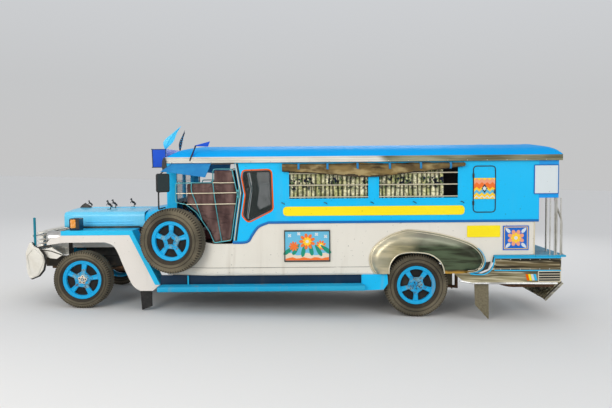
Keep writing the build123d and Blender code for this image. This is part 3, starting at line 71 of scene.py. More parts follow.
def onSide(u, v, y):
    return at(u, y, v)


def onPlan(u, y, v):
    return at(u, y, v)


def onCross(y, v, u):
    return at(u, y, v)


# shader maths
class Wire:
    def __init__(self, coat, socket):
        self.coat, self.socket = coat, socket

    def math(self, kind, first, second):
        return self.coat.node("ShaderNodeMath", {"operation": kind}, {0: first, 1: second})

    def __add__(self, other):
        return self.math("ADD", self, other)

    def __sub__(self, other):
        return self.math("SUBTRACT", self, other)

    def __abs__(self):
        return self.math("ABSOLUTE", self, 0)

    def __rsub__(self, other):
        return self.math("SUBTRACT", other, self)

    def __mul__(self, other):
        return self.math("MULTIPLY", self, other)

    __radd__ = __add__
    __rmul__ = __mul__


class Coat:
    def __init__(self, name, fixed):
        self.material = bpy.data.materials.new(name)
        self.material.use_nodes = True
        self.tree = self.material.node_tree
        self.tree.nodes.clear()
        self.shader = self.tree.nodes.new("ShaderNodeBsdfPrincipled")
        output = self.tree.nodes.new("ShaderNodeOutputMaterial")
        self.tree.links.new(self.shader.outputs[0], output.inputs[0])
        self.wear(fixed)

    def node(self, kind, settings=None, sockets=None, out=0):
        made = self.tree.nodes.new(kind)
        for key, value in (settings or {}).items():
            setattr(made, key, value)
        self.plug(made, sockets or {})
        return Wire(self, made.outputs[out])

    def plug(self, node, sockets):
        for key, value in sockets.items():
            if isinstance(value, Wire):
                self.tree.links.new(value.socket, node.inputs[key])
            else:
                node.inputs[key].default_value = value

    def wear(self, sockets):
        self.plug(self.shader, sockets)
        return self.material

    def spot(self, stretch=(1, 1, 1), shift=(0, 0, 0)):
        here = self.node("ShaderNodeTexCoord", out="Object")
        moved = self.node("ShaderNodeVectorMath", {"operation": "ADD"}, {0: here, 1: shift})
        return self.node("ShaderNodeVectorMath", {"operation": "MULTIPLY"}, {0: moved, 1: stretch})

    def along(self, axis):
        return self.node("ShaderNodeSeparateXYZ", sockets={0: self.spot()}, out=axis)

    def height(self):
        return self.along("Z")

    def cloud(self, scale, detail=2, stretch=(1, 1, 1), shift=(0, 0, 0)):
        place = self.spot(stretch, shift)
        return self.node("ShaderNodeTexNoise", {}, {"Vector": place, "Scale": scale, "Detail": detail})

    def cells(self, scale, feature, stretch, shift=(0, 0, 0)):
        place = self.spot(stretch, shift)
        return self.node("ShaderNodeTexVoronoi", {"feature": feature}, {"Vector": place, "Scale": scale})

    def waves(self, way, pitch):
        place = self.spot((pitch, pitch, pitch))
        return self.node("ShaderNodeTexWave", {"bands_direction": way}, {"Vector": place, "Scale": 1})

    def step(self, value, low, high):
        span = {0: value, 1: low, 2: high, 3: 0, 4: 1}
        return self.node("ShaderNodeMapRange", {"interpolation_type": "SMOOTHSTEP"}, span)

    def blend(self, mask, first, second):
        return self.node("ShaderNodeMix", {"data_type": "RGBA"}, {0: mask, 6: first, 7: second}, 2)

    def bump(self, height, strength, distance):
        sockets = {"Strength": strength, "Distance": distance, "Height": height}
        return self.node("ShaderNodeBump", {}, sockets)


def tint(red, green, blue):
    def linear(value):
        value /= 255
        return value / 12.92 if value < 0.04045 else ((value + 0.055) / 1.055) ** 2.4

    return (linear(red), linear(green), linear(blue), 1)


dustTint = tint(150, 134, 108)
grimeTint = tint(52, 46, 38)


def paintCoat(name, colour, pale, gloss=0.34, dust=0.22, fade=0.3, clear=0.06, dent=0.35, shine=0.26):
    coat = Coat(name, {"Coat Weight": clear, "Coat Roughness": 0.14, "Specular IOR Level": shine})
    colour, pale = tint(*colour), tint(*pale)
    broad = coat.cloud(1.1, 3)
    streak = coat.cloud(7, 4, (1.4, 1.4, 0.16))
    speck = coat.cloud(85, 2)
    low = 1 - coat.step(coat.height(), 0.2, 0.95)
    faded = coat.blend(coat.step(broad, 0.38, 0.72) * fade, colour, pale)
    soiled = coat.blend(coat.step(streak, 0.54, 0.8) * (low * 0.7 + 0.12) * dust * 2, faded, dustTint)
    chipped = coat.blend(coat.step(coat.cloud(42, 3, shift=(3, 1, 2)), 0.7, 0.74) * 0.55, soiled, grimeTint)
    rough = gloss + coat.step(streak, 0.4, 0.8) * 0.16 + low * 0.08
    return coat.wear({
        "Base Color": chipped,
        "Roughness": rough,
        "Normal": coat.bump(coat.cloud(2.4, 2) * dent + speck * 0.02, 0.35, 0.02),
    })


def metalCoat(name, colour, gloss=0.2, soil=0.3, soilColour=grimeTint, brushed=(1, 1, 0.12), strength=0.2):
    coat = Coat(name, {"IOR": 1.5})
    streak = coat.cloud(16, 4, brushed)
    patch = coat.cloud(4.2, 4)
    fine = coat.cloud(120, 2, brushed)
    mask = coat.step(patch, 0.5, 0.74) * soil * 1.6 + coat.step(streak, 0.55, 0.85) * soil * 0.7
    return coat.wear({
        "Base Color": coat.blend(mask, colour, soilColour),
        "Metallic": 1 - mask * 0.75,
        "Roughness": gloss + mask * 0.45 + fine * 0.08,
        "Normal": coat.bump(coat.cloud(5, 2) * 0.6 + streak * 0.12, strength, 0.012),
    })


def railCoat(name, look):
    # painted cream as far as the second window, unpainted, dull and darker behind it; the darker colour
    # behind is partly painted shade
    coat = Coat(name, {"Specular IOR Level": 0.4})
    streak = coat.cloud(9, 4, (0.12, 1, 1))
    bareAndShaded = coat.step(coat.along("X") + streak * 0.3, look["bareAndShadedFrom"], look["bareAndShadedFrom"] + 0.14)
    paint = coat.blend(coat.step(streak, 0.5, 0.8) * 0.35, look["cream"], look["soil"])
    metal = coat.blend(coat.step(streak, 0.36, 0.7), look["metal"], look["dark"])
    return coat.wear({
        "Base Color": coat.blend(bareAndShaded, paint, metal),
        "Metallic": bareAndShaded * 0.7,
        "Roughness": 0.3 + streak * 0.2,
        "Normal": coat.bump(coat.cloud(7, 3, (0.3, 1, 1)), 0.2, 0.006),
    })


def fenderMetalCoat(name, look):
    # polished sheet with its reflections painted on in patches: a painted highlight at its front end and
    # along its top, dark green painted reflection behind, a warm painted reflection along the foot
    coat = Coat(name, {})
    place, rise = coat.along("X"), coat.height()
    patch, streak = coat.cloud(5, 5, (1, 1, 1.3)), coat.cloud(9, 5, (0.22, 1, 1.6), (0, 3, 1))
    front = 1 - coat.step(place + patch * 0.3, look["lightTo"], look["lightTo"] + 0.34)
    crest = coat.step(rise + patch * 0.1, look["crest"], look["crest"] + 0.1)
    back = coat.blend(coat.step(streak, 0.38, 0.62), look["dark"], look["green"])
    middle = coat.blend(coat.step(streak, 0.42, 0.6), look["middle"], look["beige"])
    body = coat.blend(coat.step(place + patch * 0.2, look["shadeFrom"], look["shadeFrom"] + 0.16), middle,
        back)
    lit = coat.blend(front * (0.45 + crest * 0.4), body, look["light"])
    topped = coat.blend(crest * 0.3, lit, look["light"])
    low = 1 - coat.step(rise + patch * 0.05, look["foot"], look["foot"] + 0.035)
    foot = coat.step(place, look["warmFrom"], look["warmFull"]) * low
    fine = coat.cloud(60, 3)
    return coat.wear({
        "Base Color": coat.blend(foot * 0.9, topped, look["warm"]),
        "Metallic": 0.7 - foot * 0.5,
        "Roughness": 0.2 + patch * 0.22 + fine * 0.08,
        "Normal": coat.bump(patch * 0.9 + streak * 0.5 + fine * 0.05, 0.32, 0.02),
    })


def fairingCoat(name, look):
    # long polished sheet with the street's reflection painted on as level streaks
    coat = Coat(name, {"Metallic": look["metal"]})
    broad = coat.cloud(10, 4, (0.1, 1, 2.2), (0, 2, 0))
    thin = coat.cloud(34, 3, (0.06, 1, 1.4))
    body = coat.blend(coat.step(broad, 0.4, 0.62), look["dark"], look["middle"])
    return coat.wear({
        "Base Color": coat.blend(coat.step(thin, 0.5, 0.62) * look["streaks"], body, look["light"]),
        "Roughness": 0.26 + broad * 0.2,
        "Normal": coat.bump(broad + thin * 0.3, 0.22, 0.01),
    })


def canvasCoat(name):
    coat = Coat(name, {"Sheen Weight": 0.1, "Sheen Roughness": 0.5, "Specular IOR Level": 0.2})
    lean = coat.cloud(5, 3, (0.8, 1, 2.0), (1, 0, 2))
    fold, fine = coat.cloud(7, 3, (0.7, 1, 1.7), (4, 1, 0)), coat.cloud(160, 3)
    body = coat.blend(coat.step(lean, 0.36, 0.64), tint(88, 71, 43), tint(136, 114, 70))
    # painted highlights on the folds' crests, and painted shade in their hollows below
    lit = coat.blend(coat.step(fold, 0.54, 0.72) * 0.6, body, tint(186, 166, 118))
    return coat.wear({
        "Base Color": coat.blend(1 - coat.step(fold, 0.28, 0.46), lit, tint(58, 45, 28)),
        "Roughness": 0.8 + fine * 0.1,
        "Normal": coat.bump(fold * 1.2 + lean + fine * 0.05, 0.5, 0.012),
    })


def coverCoat(name):
    coat = Coat(name, {"Sheen Weight": 0.15, "Sheen Roughness": 0.5, "Specular IOR Level": 0.25})
    fold = coat.cloud(6.5, 3, (1.5, 1, 0.5), (2, 0, 5))
    # painted shade along the creases, and the folds painted lighter and darker as painted light and shade
    crease = coat.step(abs(coat.cloud(5, 3, (0.8, 1, 2.2), (7, 2, 1)) - 0.5), 0.0, 0.035)
    fine = coat.cloud(90, 3)
    body = coat.blend(coat.step(fold, 0.3, 0.72), tint(72, 50, 48), tint(120, 94, 88))
    return coat.wear({
        "Base Color": coat.blend(crease * 0.5 + 0.5, tint(36, 24, 24), body),
        "Roughness": 0.7 + fine * 0.12,
        "Normal": coat.bump(fold + fine * 0.04, 0.4, 0.012),
    })


def plainCoat(name, colour, second, gloss=0.6, scale=30, relief=0.1, distance=0.002, metal=0.0, dust=0.2):
    coat = Coat(name, {"Metallic": metal})
    grain = coat.cloud(scale, 4)
    broad = coat.cloud(3, 3)
    mixed = coat.blend(coat.step(grain, 0.35, 0.7), tint(*colour), tint(*second))
    return coat.wear({
        "Base Color": coat.blend(coat.step(broad, 0.45, 0.8) * dust, mixed, dustTint),
        "Roughness": gloss + broad * 0.12,
        "Normal": coat.bump(grain, relief * 4, distance),
    })


def wornCoat(name, look):
    # paint rubbed dull and rusted in specks, as round a hub
    coat = Coat(name, {"Metallic": 0, "Specular IOR Level": 0.3})
    rub, speck = coat.cloud(15, 5), coat.cloud(58, 3, shift=(1, 2, 0))
    rubbed = coat.blend(coat.step(rub, 0.46, 0.62) * 0.7, look["paint"], look["rubbed"])
    return coat.wear({
        "Base Color": coat.blend(coat.step(speck, 0.54, 0.62) * 0.75, rubbed, look["rust"]),
        "Roughness": 0.42 + rub * 0.2,
        "Normal": coat.bump(speck, 0.3, 0.002),
    })


def weaveCoat(name, colour, second, pitch=900, sheen=0.15, patch=0.4, alpha=1.0):
    coat = Coat(name, {"Sheen Weight": sheen, "Sheen Roughness": 0.5, "Alpha": alpha})
    weave = coat.waves("X", pitch / 20) * 0.5 + coat.waves("Z", pitch / 20) * 0.5
    worn = coat.cloud(6, 4)
    base = coat.blend(coat.step(worn, 0.4, 0.66) * patch, tint(*colour), tint(*second))
    return coat.wear({
        "Base Color": coat.blend(weave * 0.2, base, grimeTint),
        "Roughness": 0.82 + worn * 0.1,
        "Normal": coat.bump(weave, 0.35, 0.0006),
    })


def treadCoat(name, dark, pale):
    coat = Coat(name, {"Metallic": 0, "Sheen Weight": 0.05, "Specular IOR Level": 0.25})
    dusty = coat.step(coat.cloud(3.2, 5), 0.32, 0.7)
    fine = coat.cloud(70, 4)
    return coat.wear({
        "Base Color": coat.blend(dusty * 0.45 + fine * 0.35, tint(*dark), tint(*pale)),
        "Roughness": 0.8 + fine * 0.12,
        "Normal": coat.bump(fine, 0.3, 0.0015),
    })


def flowerCoat(name, look):
    # sprigs on cream with two bands of dark flowers, which run level with the body
    coat = Coat(name, {"Sheen Weight": 0.15, "Sheen Roughness": 0.5, "Specular IOR Level": 0.2})
    wide = (1, 0.3, 1)
    rise = coat.height() - coat.along("X") * look["rake"]
    near = coat.cloud(3.6, 2, wide, (1, 0, 2))
    upper = 1 - coat.step(abs(rise + near * 0.06 - look["upper"]), 0.03, 0.06)
    lower = 1 - coat.step(abs(rise - look["lower"]), 0.006, 0.03)
    clump = coat.step(near, 0.46, 0.58) * 0.35 + upper * coat.step(near, 0.36, 0.5) + lower * 0.6
    petals = 1 - coat.step(coat.cells(30, "SMOOTH_F1", wide), 0.3, 0.46)
    leaves = coat.step(coat.cloud(34, 4, wide), 0.49, 0.55)
    stem = 1 - coat.step(coat.cells(12, "DISTANCE_TO_EDGE", wide, (2, 0, 1)), 0.03, 0.07)
    ground = coat.blend(coat.step(coat.cloud(9, 2, wide), 0.42, 0.62), tint(250, 243, 206),
        tint(206, 204, 144))
    sprig = coat.blend(stem * 0.4 + leaves * (0.3 + clump * 0.6), ground, tint(96, 116, 74))
    bloom = coat.blend(petals * clump * 1.2, sprig, tint(14, 24, 50))
    # the backs of the pleats lie in shade
    trough = 1 - coat.step(abs(coat.along("Y")), look["backY"], look["frontY"])
    return coat.wear({
        "Base Color": coat.blend(trough * 0.88, bloom, tint(26, 26, 17)),
        "Roughness": 0.86 + leaves * 0.05,
        "Normal": coat.bump(coat.cloud(300, 2), 0.15, 0.0008),
    })


def woodCoat(name):
    coat = Coat(name, {"Metallic": 0})
    grain = coat.cloud(22, 5, (0.12, 1, 1))
    return coat.wear({
        "Base Color": coat.blend(coat.step(grain, 0.4, 0.66), tint(150, 96, 44), tint(88, 52, 24)),
        "Roughness": 0.55 + grain * 0.2,
        "Normal": coat.bump(grain, 0.3, 0.002),
    })


def lensCoat(name, colour, rough=0.12, through=0.35):
    coat = Coat(name, {"Transmission Weight": through, "IOR": 1.49, "Coat Weight": 0.6})
    flutes = coat.waves("Z", 60)
    return coat.wear({
        "Base Color": coat.blend(coat.cloud(14, 2) * 0.3, tint(*colour), grimeTint),
        "Roughness": rough + coat.cloud(20, 2) * 0.1,
        "Normal": coat.bump(flutes, 0.25, 0.002),
    })


def glassCoat(name):
    coat = Coat(name, {"Metallic": 0, "IOR": 1.5, "Coat Weight": 0.8, "Coat Roughness": 0.03})
    smear = coat.cloud(5, 4)
    return coat.wear({
        "Base Color": coat.blend(smear * 0.5, tint(30, 42, 40), tint(76, 88, 84)),
        "Alpha": 0.34 + coat.step(smear, 0.5, 0.8) * 0.22,
        "Roughness": 0.06 + coat.step(smear, 0.5, 0.8) * 0.2,
    })


finishes = {
    "blue": paintCoat("skyBluePaint", (0, 186, 242), (6, 196, 248)),
    "roofBlue": paintCoat("roofBluePaint", (2, 160, 234), (12, 176, 243), dust=0.06, gloss=0.5,
        clear=0, shine=0.08),
    "hoodBlue": paintCoat("hoodBluePaint", (92, 206, 244), (176, 234, 252), gloss=0.26, clear=0.2),
    "finBlue": paintCoat("roofFinPaint", (44, 194, 242), (104, 214, 248), gloss=0.3, clear=0.1),
    "wheelBlue": paintCoat("wheelBluePaint", (10, 166, 222), (40, 190, 238), dust=0.5, dent=0.1),
    "wheelWorn": wornCoat("wornWheelPaint",
        {"paint": tint(14, 160, 214), "rubbed": tint(132, 168, 172), "rust": tint(88, 60, 44)}),
    "deep": paintCoat("deepBluePaint", (4, 104, 176), (8, 118, 192), dust=0.05),
    "signBlue": paintCoat("signBluePaint", (4, 76, 198), (10, 90, 212), dust=0.05, shine=0.15),
    "trimBlue": paintCoat("trimBluePaint", (20, 176, 228), (80, 206, 240), dust=0.1),
    "fenderBlue": paintCoat("fenderStripPaint", (24, 186, 232), (64, 206, 242), dust=0.2),
    "boardBlue": paintCoat("boardBluePaint", (10, 158, 202), (60, 184, 212), dust=0.45, gloss=0.4),
    "sillBlue": paintCoat("navyPaintAndSillShade", (2, 44, 72), (4, 62, 98), dust=0.04),
    "shadeBlue": paintCoat("rearShadeBluePaint", (0, 150, 232), (6, 182, 244), dust=0.15),
    "white": paintCoat("creamWhitePaint", (224, 219, 207), (236, 232, 222), dust=0.3, gloss=0.36, dent=1.8),
    "fenderWhite": paintCoat("fenderWhitePaint", (222, 216, 208), (236, 232, 226), dust=0.3, dent=0.4),
    "artFrame": paintCoat("pictureFramePaint", (52, 54, 40), (78, 76, 58), dust=0.2),
    "artSky": paintCoat("pictureSkyPaint", (96, 182, 216), (150, 208, 226), dust=0.05),
    "artSand": paintCoat("pictureSandPaint", (226, 208, 184), (238, 226, 206), dust=0.05),
    "artTeal": paintCoat("pictureLeafPaint", (14, 138, 112), (40, 166, 136), dust=0.05),
    "artOrange": paintCoat("pictureOrangePaint", (238, 112, 40), (246, 140, 66), dust=0.05),
    "artYellow": paintCoat("pictureYellowPaint", (252, 204, 34), (252, 218, 84), dust=0.05),
    "artPeach": paintCoat("picturePeachPaint", (238, 158, 120), (244, 186, 154), dust=0.05),
    "artBlue": paintCoat("pictureBluePaint", (8, 98, 196), (20, 140, 222), dust=0.05),
    "artDark": paintCoat("pictureDarkPaint", (40, 46, 52), (60, 62, 60), dust=0.05),
    "yellow": paintCoat("routeYellowPaint", (250, 226, 10), (252, 238, 44), dust=0.06),
    "board": paintCoat("boardWhitePaint", (214, 222, 224), (200, 210, 214), dust=0.15),
    "chrome": metalCoat("brightChrome", (0.74, 0.73, 0.7, 1), 0.16, 0.3),
    "barCream": metalCoat("windowBarMetal", tint(232, 222, 196), 0.3, 0.3, tint(150, 136, 104), (0.1, 1, 1)),
    "stainless": metalCoat("stainlessRail", (0.66, 0.65, 0.6, 1), 0.24, 0.3, tint(120, 108, 80), (0.1, 1, 1)),
    "rail": railCoat("roofRailFinish", {
        "bareAndShadedFrom": 1.06, "cream": tint(226, 222, 212), "soil": tint(150, 140, 116),
        "metal": tint(172, 170, 140), "dark": tint(96, 94, 70)}),
    "dull": fenderMetalCoat("fenderMetalPaintedReflections", {
        "lightTo": 1.0, "crest": 0.86, "foot": 0.565, "shadeFrom": 1.36, "warmFrom": 1.43, "warmFull": 1.56,
        "dark": tint(50, 53, 38), "green": tint(88, 102, 76),
        "middle": tint(132, 128, 98), "beige": tint(182, 170, 132), "light": tint(238, 230, 208),
        "warm": tint(190, 142, 40)}),
    "fairing": fairingCoat("fairingPaintedReflections", {
        "metal": 0.6, "streaks": 0.7, "dark": tint(96, 88, 62), "middle": tint(162, 152, 118),
        "light": tint(226, 216, 184)}),
    "fairingDark": fairingCoat("fairingDarkPaintedReflections", {
        "metal": 0.6, "streaks": 0.6, "dark": tint(40, 34, 22), "middle": tint(110, 96, 66),
        "light": tint(196, 182, 146)}),
    "bumper": metalCoat("bumperMetal", tint(232, 229, 220), 0.34, 0.25, tint(170, 160, 140)),
    "teal": paintCoat("tealPostPaint", (10, 120, 140), (40, 160, 176), dust=0.2, dent=0.05),
    "rodSteel": metalCoat("gateRodSteel", tint(96, 172, 180), 0.34, 0.35, tint(50, 110, 118)),
    "rubber": plainCoat("blackRubberAndGapShade", (16, 18, 18), (30, 29, 27), 0.6, 60, dust=0.1),
    "orange": paintCoat("outlineOrangePaint", (228, 96, 0), (234, 110, 4), dust=0.03, gloss=0.7,
        clear=0, shine=0.06),
    "tyre": treadCoat("dustyTyreRubber", (64, 60, 50), (134, 124, 102)),
    "tyreDark": treadCoat("darkTyreRubber", (34, 31, 27), (86, 76, 62)),
    "holeShade": plainCoat("wheelHolePaintedShade", (12, 12, 11), (28, 25, 21), 0.8, 20, dust=0.15),
    "hub": metalCoat("hubCastMetal", tint(222, 212, 196), 0.4, 0.4, tint(120, 96, 72)),
    "frameBlack": plainCoat("blackPaintAndGapShade", (24, 23, 22), (46, 40, 34), 0.7, 12, dust=0.4),
    "rust": plainCoat("rustySteel", (78, 50, 32), (112, 76, 48), 0.8, 26, 0.2, dust=0.4),
    "lining": plainCoat("cabLining", (34, 32, 30), (46, 42, 38), 0.75, 50, dust=0.1),
    "ceiling": plainCoat("ceilingVinyl", (54, 30, 32), (66, 38, 38), 0.6, 90, 0.1, dust=0.05),
    "floor": plainCoat("deckSheet", (54, 56, 56), (76, 78, 74), 0.5, 8, dust=0.5),
    "tread": metalCoat("treadPlateMetal", tint(150, 152, 140), 0.4, 0.5, tint(80, 72, 58)),
    "canvas": canvasCoat("brownCanvas"),
    "canvasShade": plainCoat("canvasPaintedShade", (46, 38, 24), (70, 58, 36), 0.85, 40, dust=0.1),
    "strap": weaveCoat("blueStrap", (24, 140, 200), (14, 104, 160), 1600),
    "cover": coverCoat("mauveCover"),
    "awning": weaveCoat("blueAwning", (12, 132, 200), (40, 160, 216), 1500, 0.1, 0.5, alpha=0.93),
    "curtain": flowerCoat("floralCurtain", {
        "rake": 0.0334, "upper": 1.545, "lower": 1.445, "backY": 0.8135, "frontY": 0.824}),
    "vinyl": plainCoat("seatVinyl", (92, 26, 30), (70, 18, 22), 0.42, 140, 0.12, 0.0008, dust=0.12),
    "black": plainCoat("mirrorPlastic", (20, 20, 21), (34, 33, 32), 0.45, 80, dust=0.2),
    "flapBlack": plainCoat("flatBlackAndBumperShadow", (22, 22, 22), (40, 38, 36), 0.75, 40, dust=0.3),
    "flapPale": plainCoat("flapRubberPale", (120, 112, 88), (98, 90, 70), 0.75, 60, dust=0.2),
    "amber": lensCoat("amberLens", (255, 158, 24), through=0.05),
    "red": lensCoat("redLens", (170, 20, 16)),
    "clear": lensCoat("clearLens", (214, 220, 216), 0.06, 0.5),
    "glass": glassCoat("cabGlass"),
    "mirrorGlass": metalCoat("mirrorGlass", tint(70, 82, 84), 0.05, 0.08, grimeTint, (1, 1, 1), 0.02),
    "wood": woodCoat("sillWood"),
    "horse": metalCoat("castHorse", tint(58, 60, 62), 0.34, 0.45, tint(26, 26, 26)),
    "iron": plainCoat("engineIron", (64, 66, 66), (90, 88, 82), 0.55, 18, metal=0.4, dust=0.3),
}
print("finishes made")


# outlines
def rounded(points, radius, steps=5):
    made = []
    for i, here in enumerate(points):
        before, after = Vector(points[i - 1]), Vector(points[(i + 1) % len(points)])
        here = Vector(here)
        one, two = before - here, after - here
        turn = one.angle(two) if one.length > 0 and two.length > 0 else math.pi
        if turn > math.pi - 0.02:
            made.append(tuple(here))
            continue
        reach = min(radius / math.tan(turn / 2), one.length * 0.48, two.length * 0.48)
        start, stop = here + one.normalized() * reach, here + two.normalized() * reach
        for k in range(steps + 1):
            t = k / steps
            made.append(tuple(start * (1 - t) ** 2 + here * 2 * t * (1 - t) + stop * t * t))
    return made


def smoothPath(points, steps=6):
    # an open spline through the points
    ends = [points[0]] + list(points) + [points[-1]]
    made = []
    for i in range(1, len(ends) - 2):
        p0, p1, p2, p3 = (Vector(ends[j]) for j in (i - 1, i, i + 1, i + 2))
        for k in range(steps):
            t = k / steps
            bend, twist = 2 * p0 - 5 * p1 + 4 * p2 - p3, 3 * p1 - p0 - 3 * p2 + p3
            made.append(0.5 * (2 * p1 + (p2 - p0) * t + bend * t * t + twist * t**3))
    made.append(Vector(points[-1]))
    return [tuple(p) for p in made]


def rectangle(u0, u1, v0, v1, radius=0, steps=5):
    corners = [(u0, v0), (u1, v0), (u1, v1), (u0, v1)]
    return rounded(corners, radius, steps) if radius else corners


def strip(half, low, high):
    return [(-half, low), (-half, high), (half, high), (half, low)]


def circle(cu, cv, radius, steps=24):
    turns = [k * math.tau / steps for k in range(steps)]
    return [(cu + radius * math.cos(t), cv + radius * math.sin(t)) for t in turns]


def inside(point, loop):
    x, y = point
    hit = False
    for i in range(len(loop)):
        (x1, y1), (x2, y2) = loop[i - 1], loop[i]
        if (y1 > y) != (y2 > y) and x < (x2 - x1) * (y - y1) / (y2 - y1) + x1:
            hit = not hit
    return hit


def edgeDistance(point, loop, closed=True):
    x, y = point
    best = 1e9
    for i in range(0 if closed else 1, len(loop)):
        (x1, y1), (x2, y2) = loop[i - 1], loop[i]
        dx, dy = x2 - x1, y2 - y1
        t = max(0, min(1, ((x - x1) * dx + (y - y1) * dy) / (dx * dx + dy * dy + 1e-9)))
        best = min(best, math.hypot(x - x1 - t * dx, y - y1 - t * dy))
    return best


def gridFill(outline, holes, cell):
    points, edges = [], []
    loops = [outline] + list(holes)
    for loop in loops:
        start = len(points)
        for i in range(len(loop)):
            a, b = Vector(loop[i][:2]), Vector(loop[(i + 1) % len(loop)][:2])
            count = max(1, round((b - a).length / cell))
            points += [a.lerp(b, k / count) for k in range(count)]
        edges += [(k, k + 1 if k + 1 < len(points) else start) for k in range(start, len(points))]
    lowA, highA = min(p[0] for p in outline), max(p[0] for p in outline)
    lowB, highB = min(p[1] for p in outline), max(p[1] for p in outline)
    for i in range(int((highA - lowA) / cell) + 1):
        for k in range(int((highB - lowB) / cell) + 1):
            spot = (lowA + (i + 0.5) * cell, lowB + (k + 0.5) * cell)
            if inside(spot, outline) and not any(inside(spot, h) for h in holes):
                if min(edgeDistance(spot, loop) for loop in loops) > cell * 0.45:
                    points.append(Vector(spot))
    found = delaunay_2d_cdt(points, edges, [], 0, 1e-4)
    flat = [tuple(p) for p in found[0]]
    kept = []
    for face in found[2]:
        centre = (sum(flat[i][0] for i in face) / 3, sum(flat[i][1] for i in face) / 3)
        if inside(centre, outline) and not any(inside(centre, h) for h in holes):
            kept.append(list(face))
    return flat, kept


def heightAt(path, u):
    for (u0, v0), (u1, v1) in zip(path, path[1:]):
        if u <= u1:
            return v0 + (v1 - v0) * (u - u0) / (u1 - u0)
    return path[-1][1]


def gridFaces(rows, columns):
    return [
        [i * columns + k, i * columns + k + 1, (i + 1) * columns + k + 1, (i + 1) * columns + k]
        for i in range(rows - 1) for k in range(columns - 1)
    ]


def asDepth(value):
    return value if callable(value) else lambda a, b: value


# mesh building
class Shape:
    def __init__(self):
        self.verts, self.faces, self.marks = [], [], []

    def add(self, verts, faces, mark=0):
        base = len(self.verts)
        self.verts += [Vector(p) for p in verts]
        self.faces += [[base + i for i in face] for face in faces]
        self.marks += [mark] * len(faces)
        return self

    def mirrored(self):
        base = len(self.verts)
        self.verts += [Vector((p.x, -p.y, p.z)) for p in self.verts[:base]]
        self.faces += [[base + i for i in reversed(face)] for face in self.faces]
        self.marks += self.marks
        return self

    def plate(self, outline, toPoint, outer, inner, cell=60, holes=(), mark=0, backMark=None):
        flat, faces = gridFill(outline, holes, cell)
        outer, inner = asDepth(outer), asDepth(inner)
        count = len(flat)
        verts = [toPoint(a, b, outer(a, b)) for a, b in flat] + [toPoint(a, b, inner(a, b)) for a, b in flat]
        uses = dict.fromkeys((face[i - 1], face[i]) for face in faces for i in range(len(face)))
        rim = [(i, k) for i, k in uses if (k, i) not in uses]
        self.add(verts, faces, mark)
        base = len(self.verts) - len(verts)
        self.faces += [[base + count + i for i in reversed(face)] for face in faces]
        self.marks += [mark if backMark is None else backMark] * len(faces)
        self.faces += [[base + k, base + i, base + i + count, base + k + count] for i, k in rim]
        self.marks += [mark] * len(rim)
        return self

    def slab(self, outline, toPoint, one, two, mark=0):
        count = len(outline)
        verts = [toPoint(a, b, one) for a, b in outline] + [toPoint(a, b, two) for a, b in outline]
        faces = [list(range(count)), list(range(2 * count - 1, count - 1, -1))]
        faces += [[i, (i + 1) % count, (i + 1) % count + count, i + count] for i in range(count)]
        return self.add(verts, faces, mark)

    def block(self, u0, u1, y0, y1, v0, v1, mark=0):
        return self.slab(rectangle(u0, u1, v0, v1), onSide, y0, y1, mark)

    def loft(self, rings, closed=True, caps=True, mark=0):
        count = len(rings[0])
        verts = [p for ring in rings for p in ring]
        faces = []
        for r in range(len(rings) - 1):
            for i in range(count if closed else count - 1):
                k = (i + 1) % count
                faces.append([r * count + i, r * count + k, (r + 1) * count + k, (r + 1) * count + i])
        if caps and closed:
            faces.append(list(range(count - 1, -1, -1)))
            faces.append([(len(rings) - 1) * count + i for i in range(count)])
        return self.add(verts, faces, mark)

    def sweep(self, path, profile, closed=False, up=None, mark=0, scale=None):
        path = [Vector(p) for p in path]
        count = len(path)
        rings = []
        previous = None
        for i, here in enumerate(path):
            before = path[i - 1] if (i or closed) else here
            after = path[(i + 1) % count] if (i < count - 1 or closed) else here
            along = (after - before).normalized()
            if up is not None:
                sideways = along.cross(up).normalized()
            else:
                if previous is None:
                    previous = along.orthogonal()
                sideways = (previous - along * previous.dot(along)).normalized()
                previous = sideways
            upward = sideways.cross(along)
            grow = scale[i] if scale else 1
            rings.append([here + (sideways * a + upward * b) * (grow / 1000) for a, b in profile])
        if closed:
            rings.append(rings[0])
        return self.loft(rings, True, not closed, mark)

    def tube(self, path, radius, sides=10, closed=False, mark=0, scale=None):
        return self.sweep(path, circle(0, 0, radius, sides), closed, None, mark, scale)

    def lathe(self, profile, origin, axis, steps=48, mark=0, change=None, marks=None):
        axis = Vector(axis).normalized()
        one = axis.orthogonal().normalized()
        two = axis.cross(one)
        rings = []
        for s in range(steps):
            turn = s * math.tau / steps
            spoke = one * math.cos(turn) + two * math.sin(turn)
            ring = []
            for p, (along, radius) in enumerate(profile):
                place, reach = change(s, p, along, radius) if change else (along, radius)
                ring.append(Vector(origin) + (axis * place + spoke * reach) / 1000)
            rings.append(ring)
        count = len(profile)
        base = len(self.verts)
        self.verts += [p for ring in rings for p in ring]
        for s in range(steps):
            here, there = base + s * count, base + (s + 1) % steps * count
            for p in range(count - 1):
                self.faces.append([here + p, there + p, there + p + 1, here + p + 1])
                self.marks.append(marks[p] if marks else mark)
        return self


def show(made):
    bpy.context.scene.collection.objects.link(made)
    return made


def soften(made, width, segments, limit):
    edges = made.modifiers.new("edges", "BEVEL")
    edges.width, edges.segments, edges.limit_method = width / 1000, segments, "ANGLE"
    edges.angle_limit = math.radians(limit)
    return edges


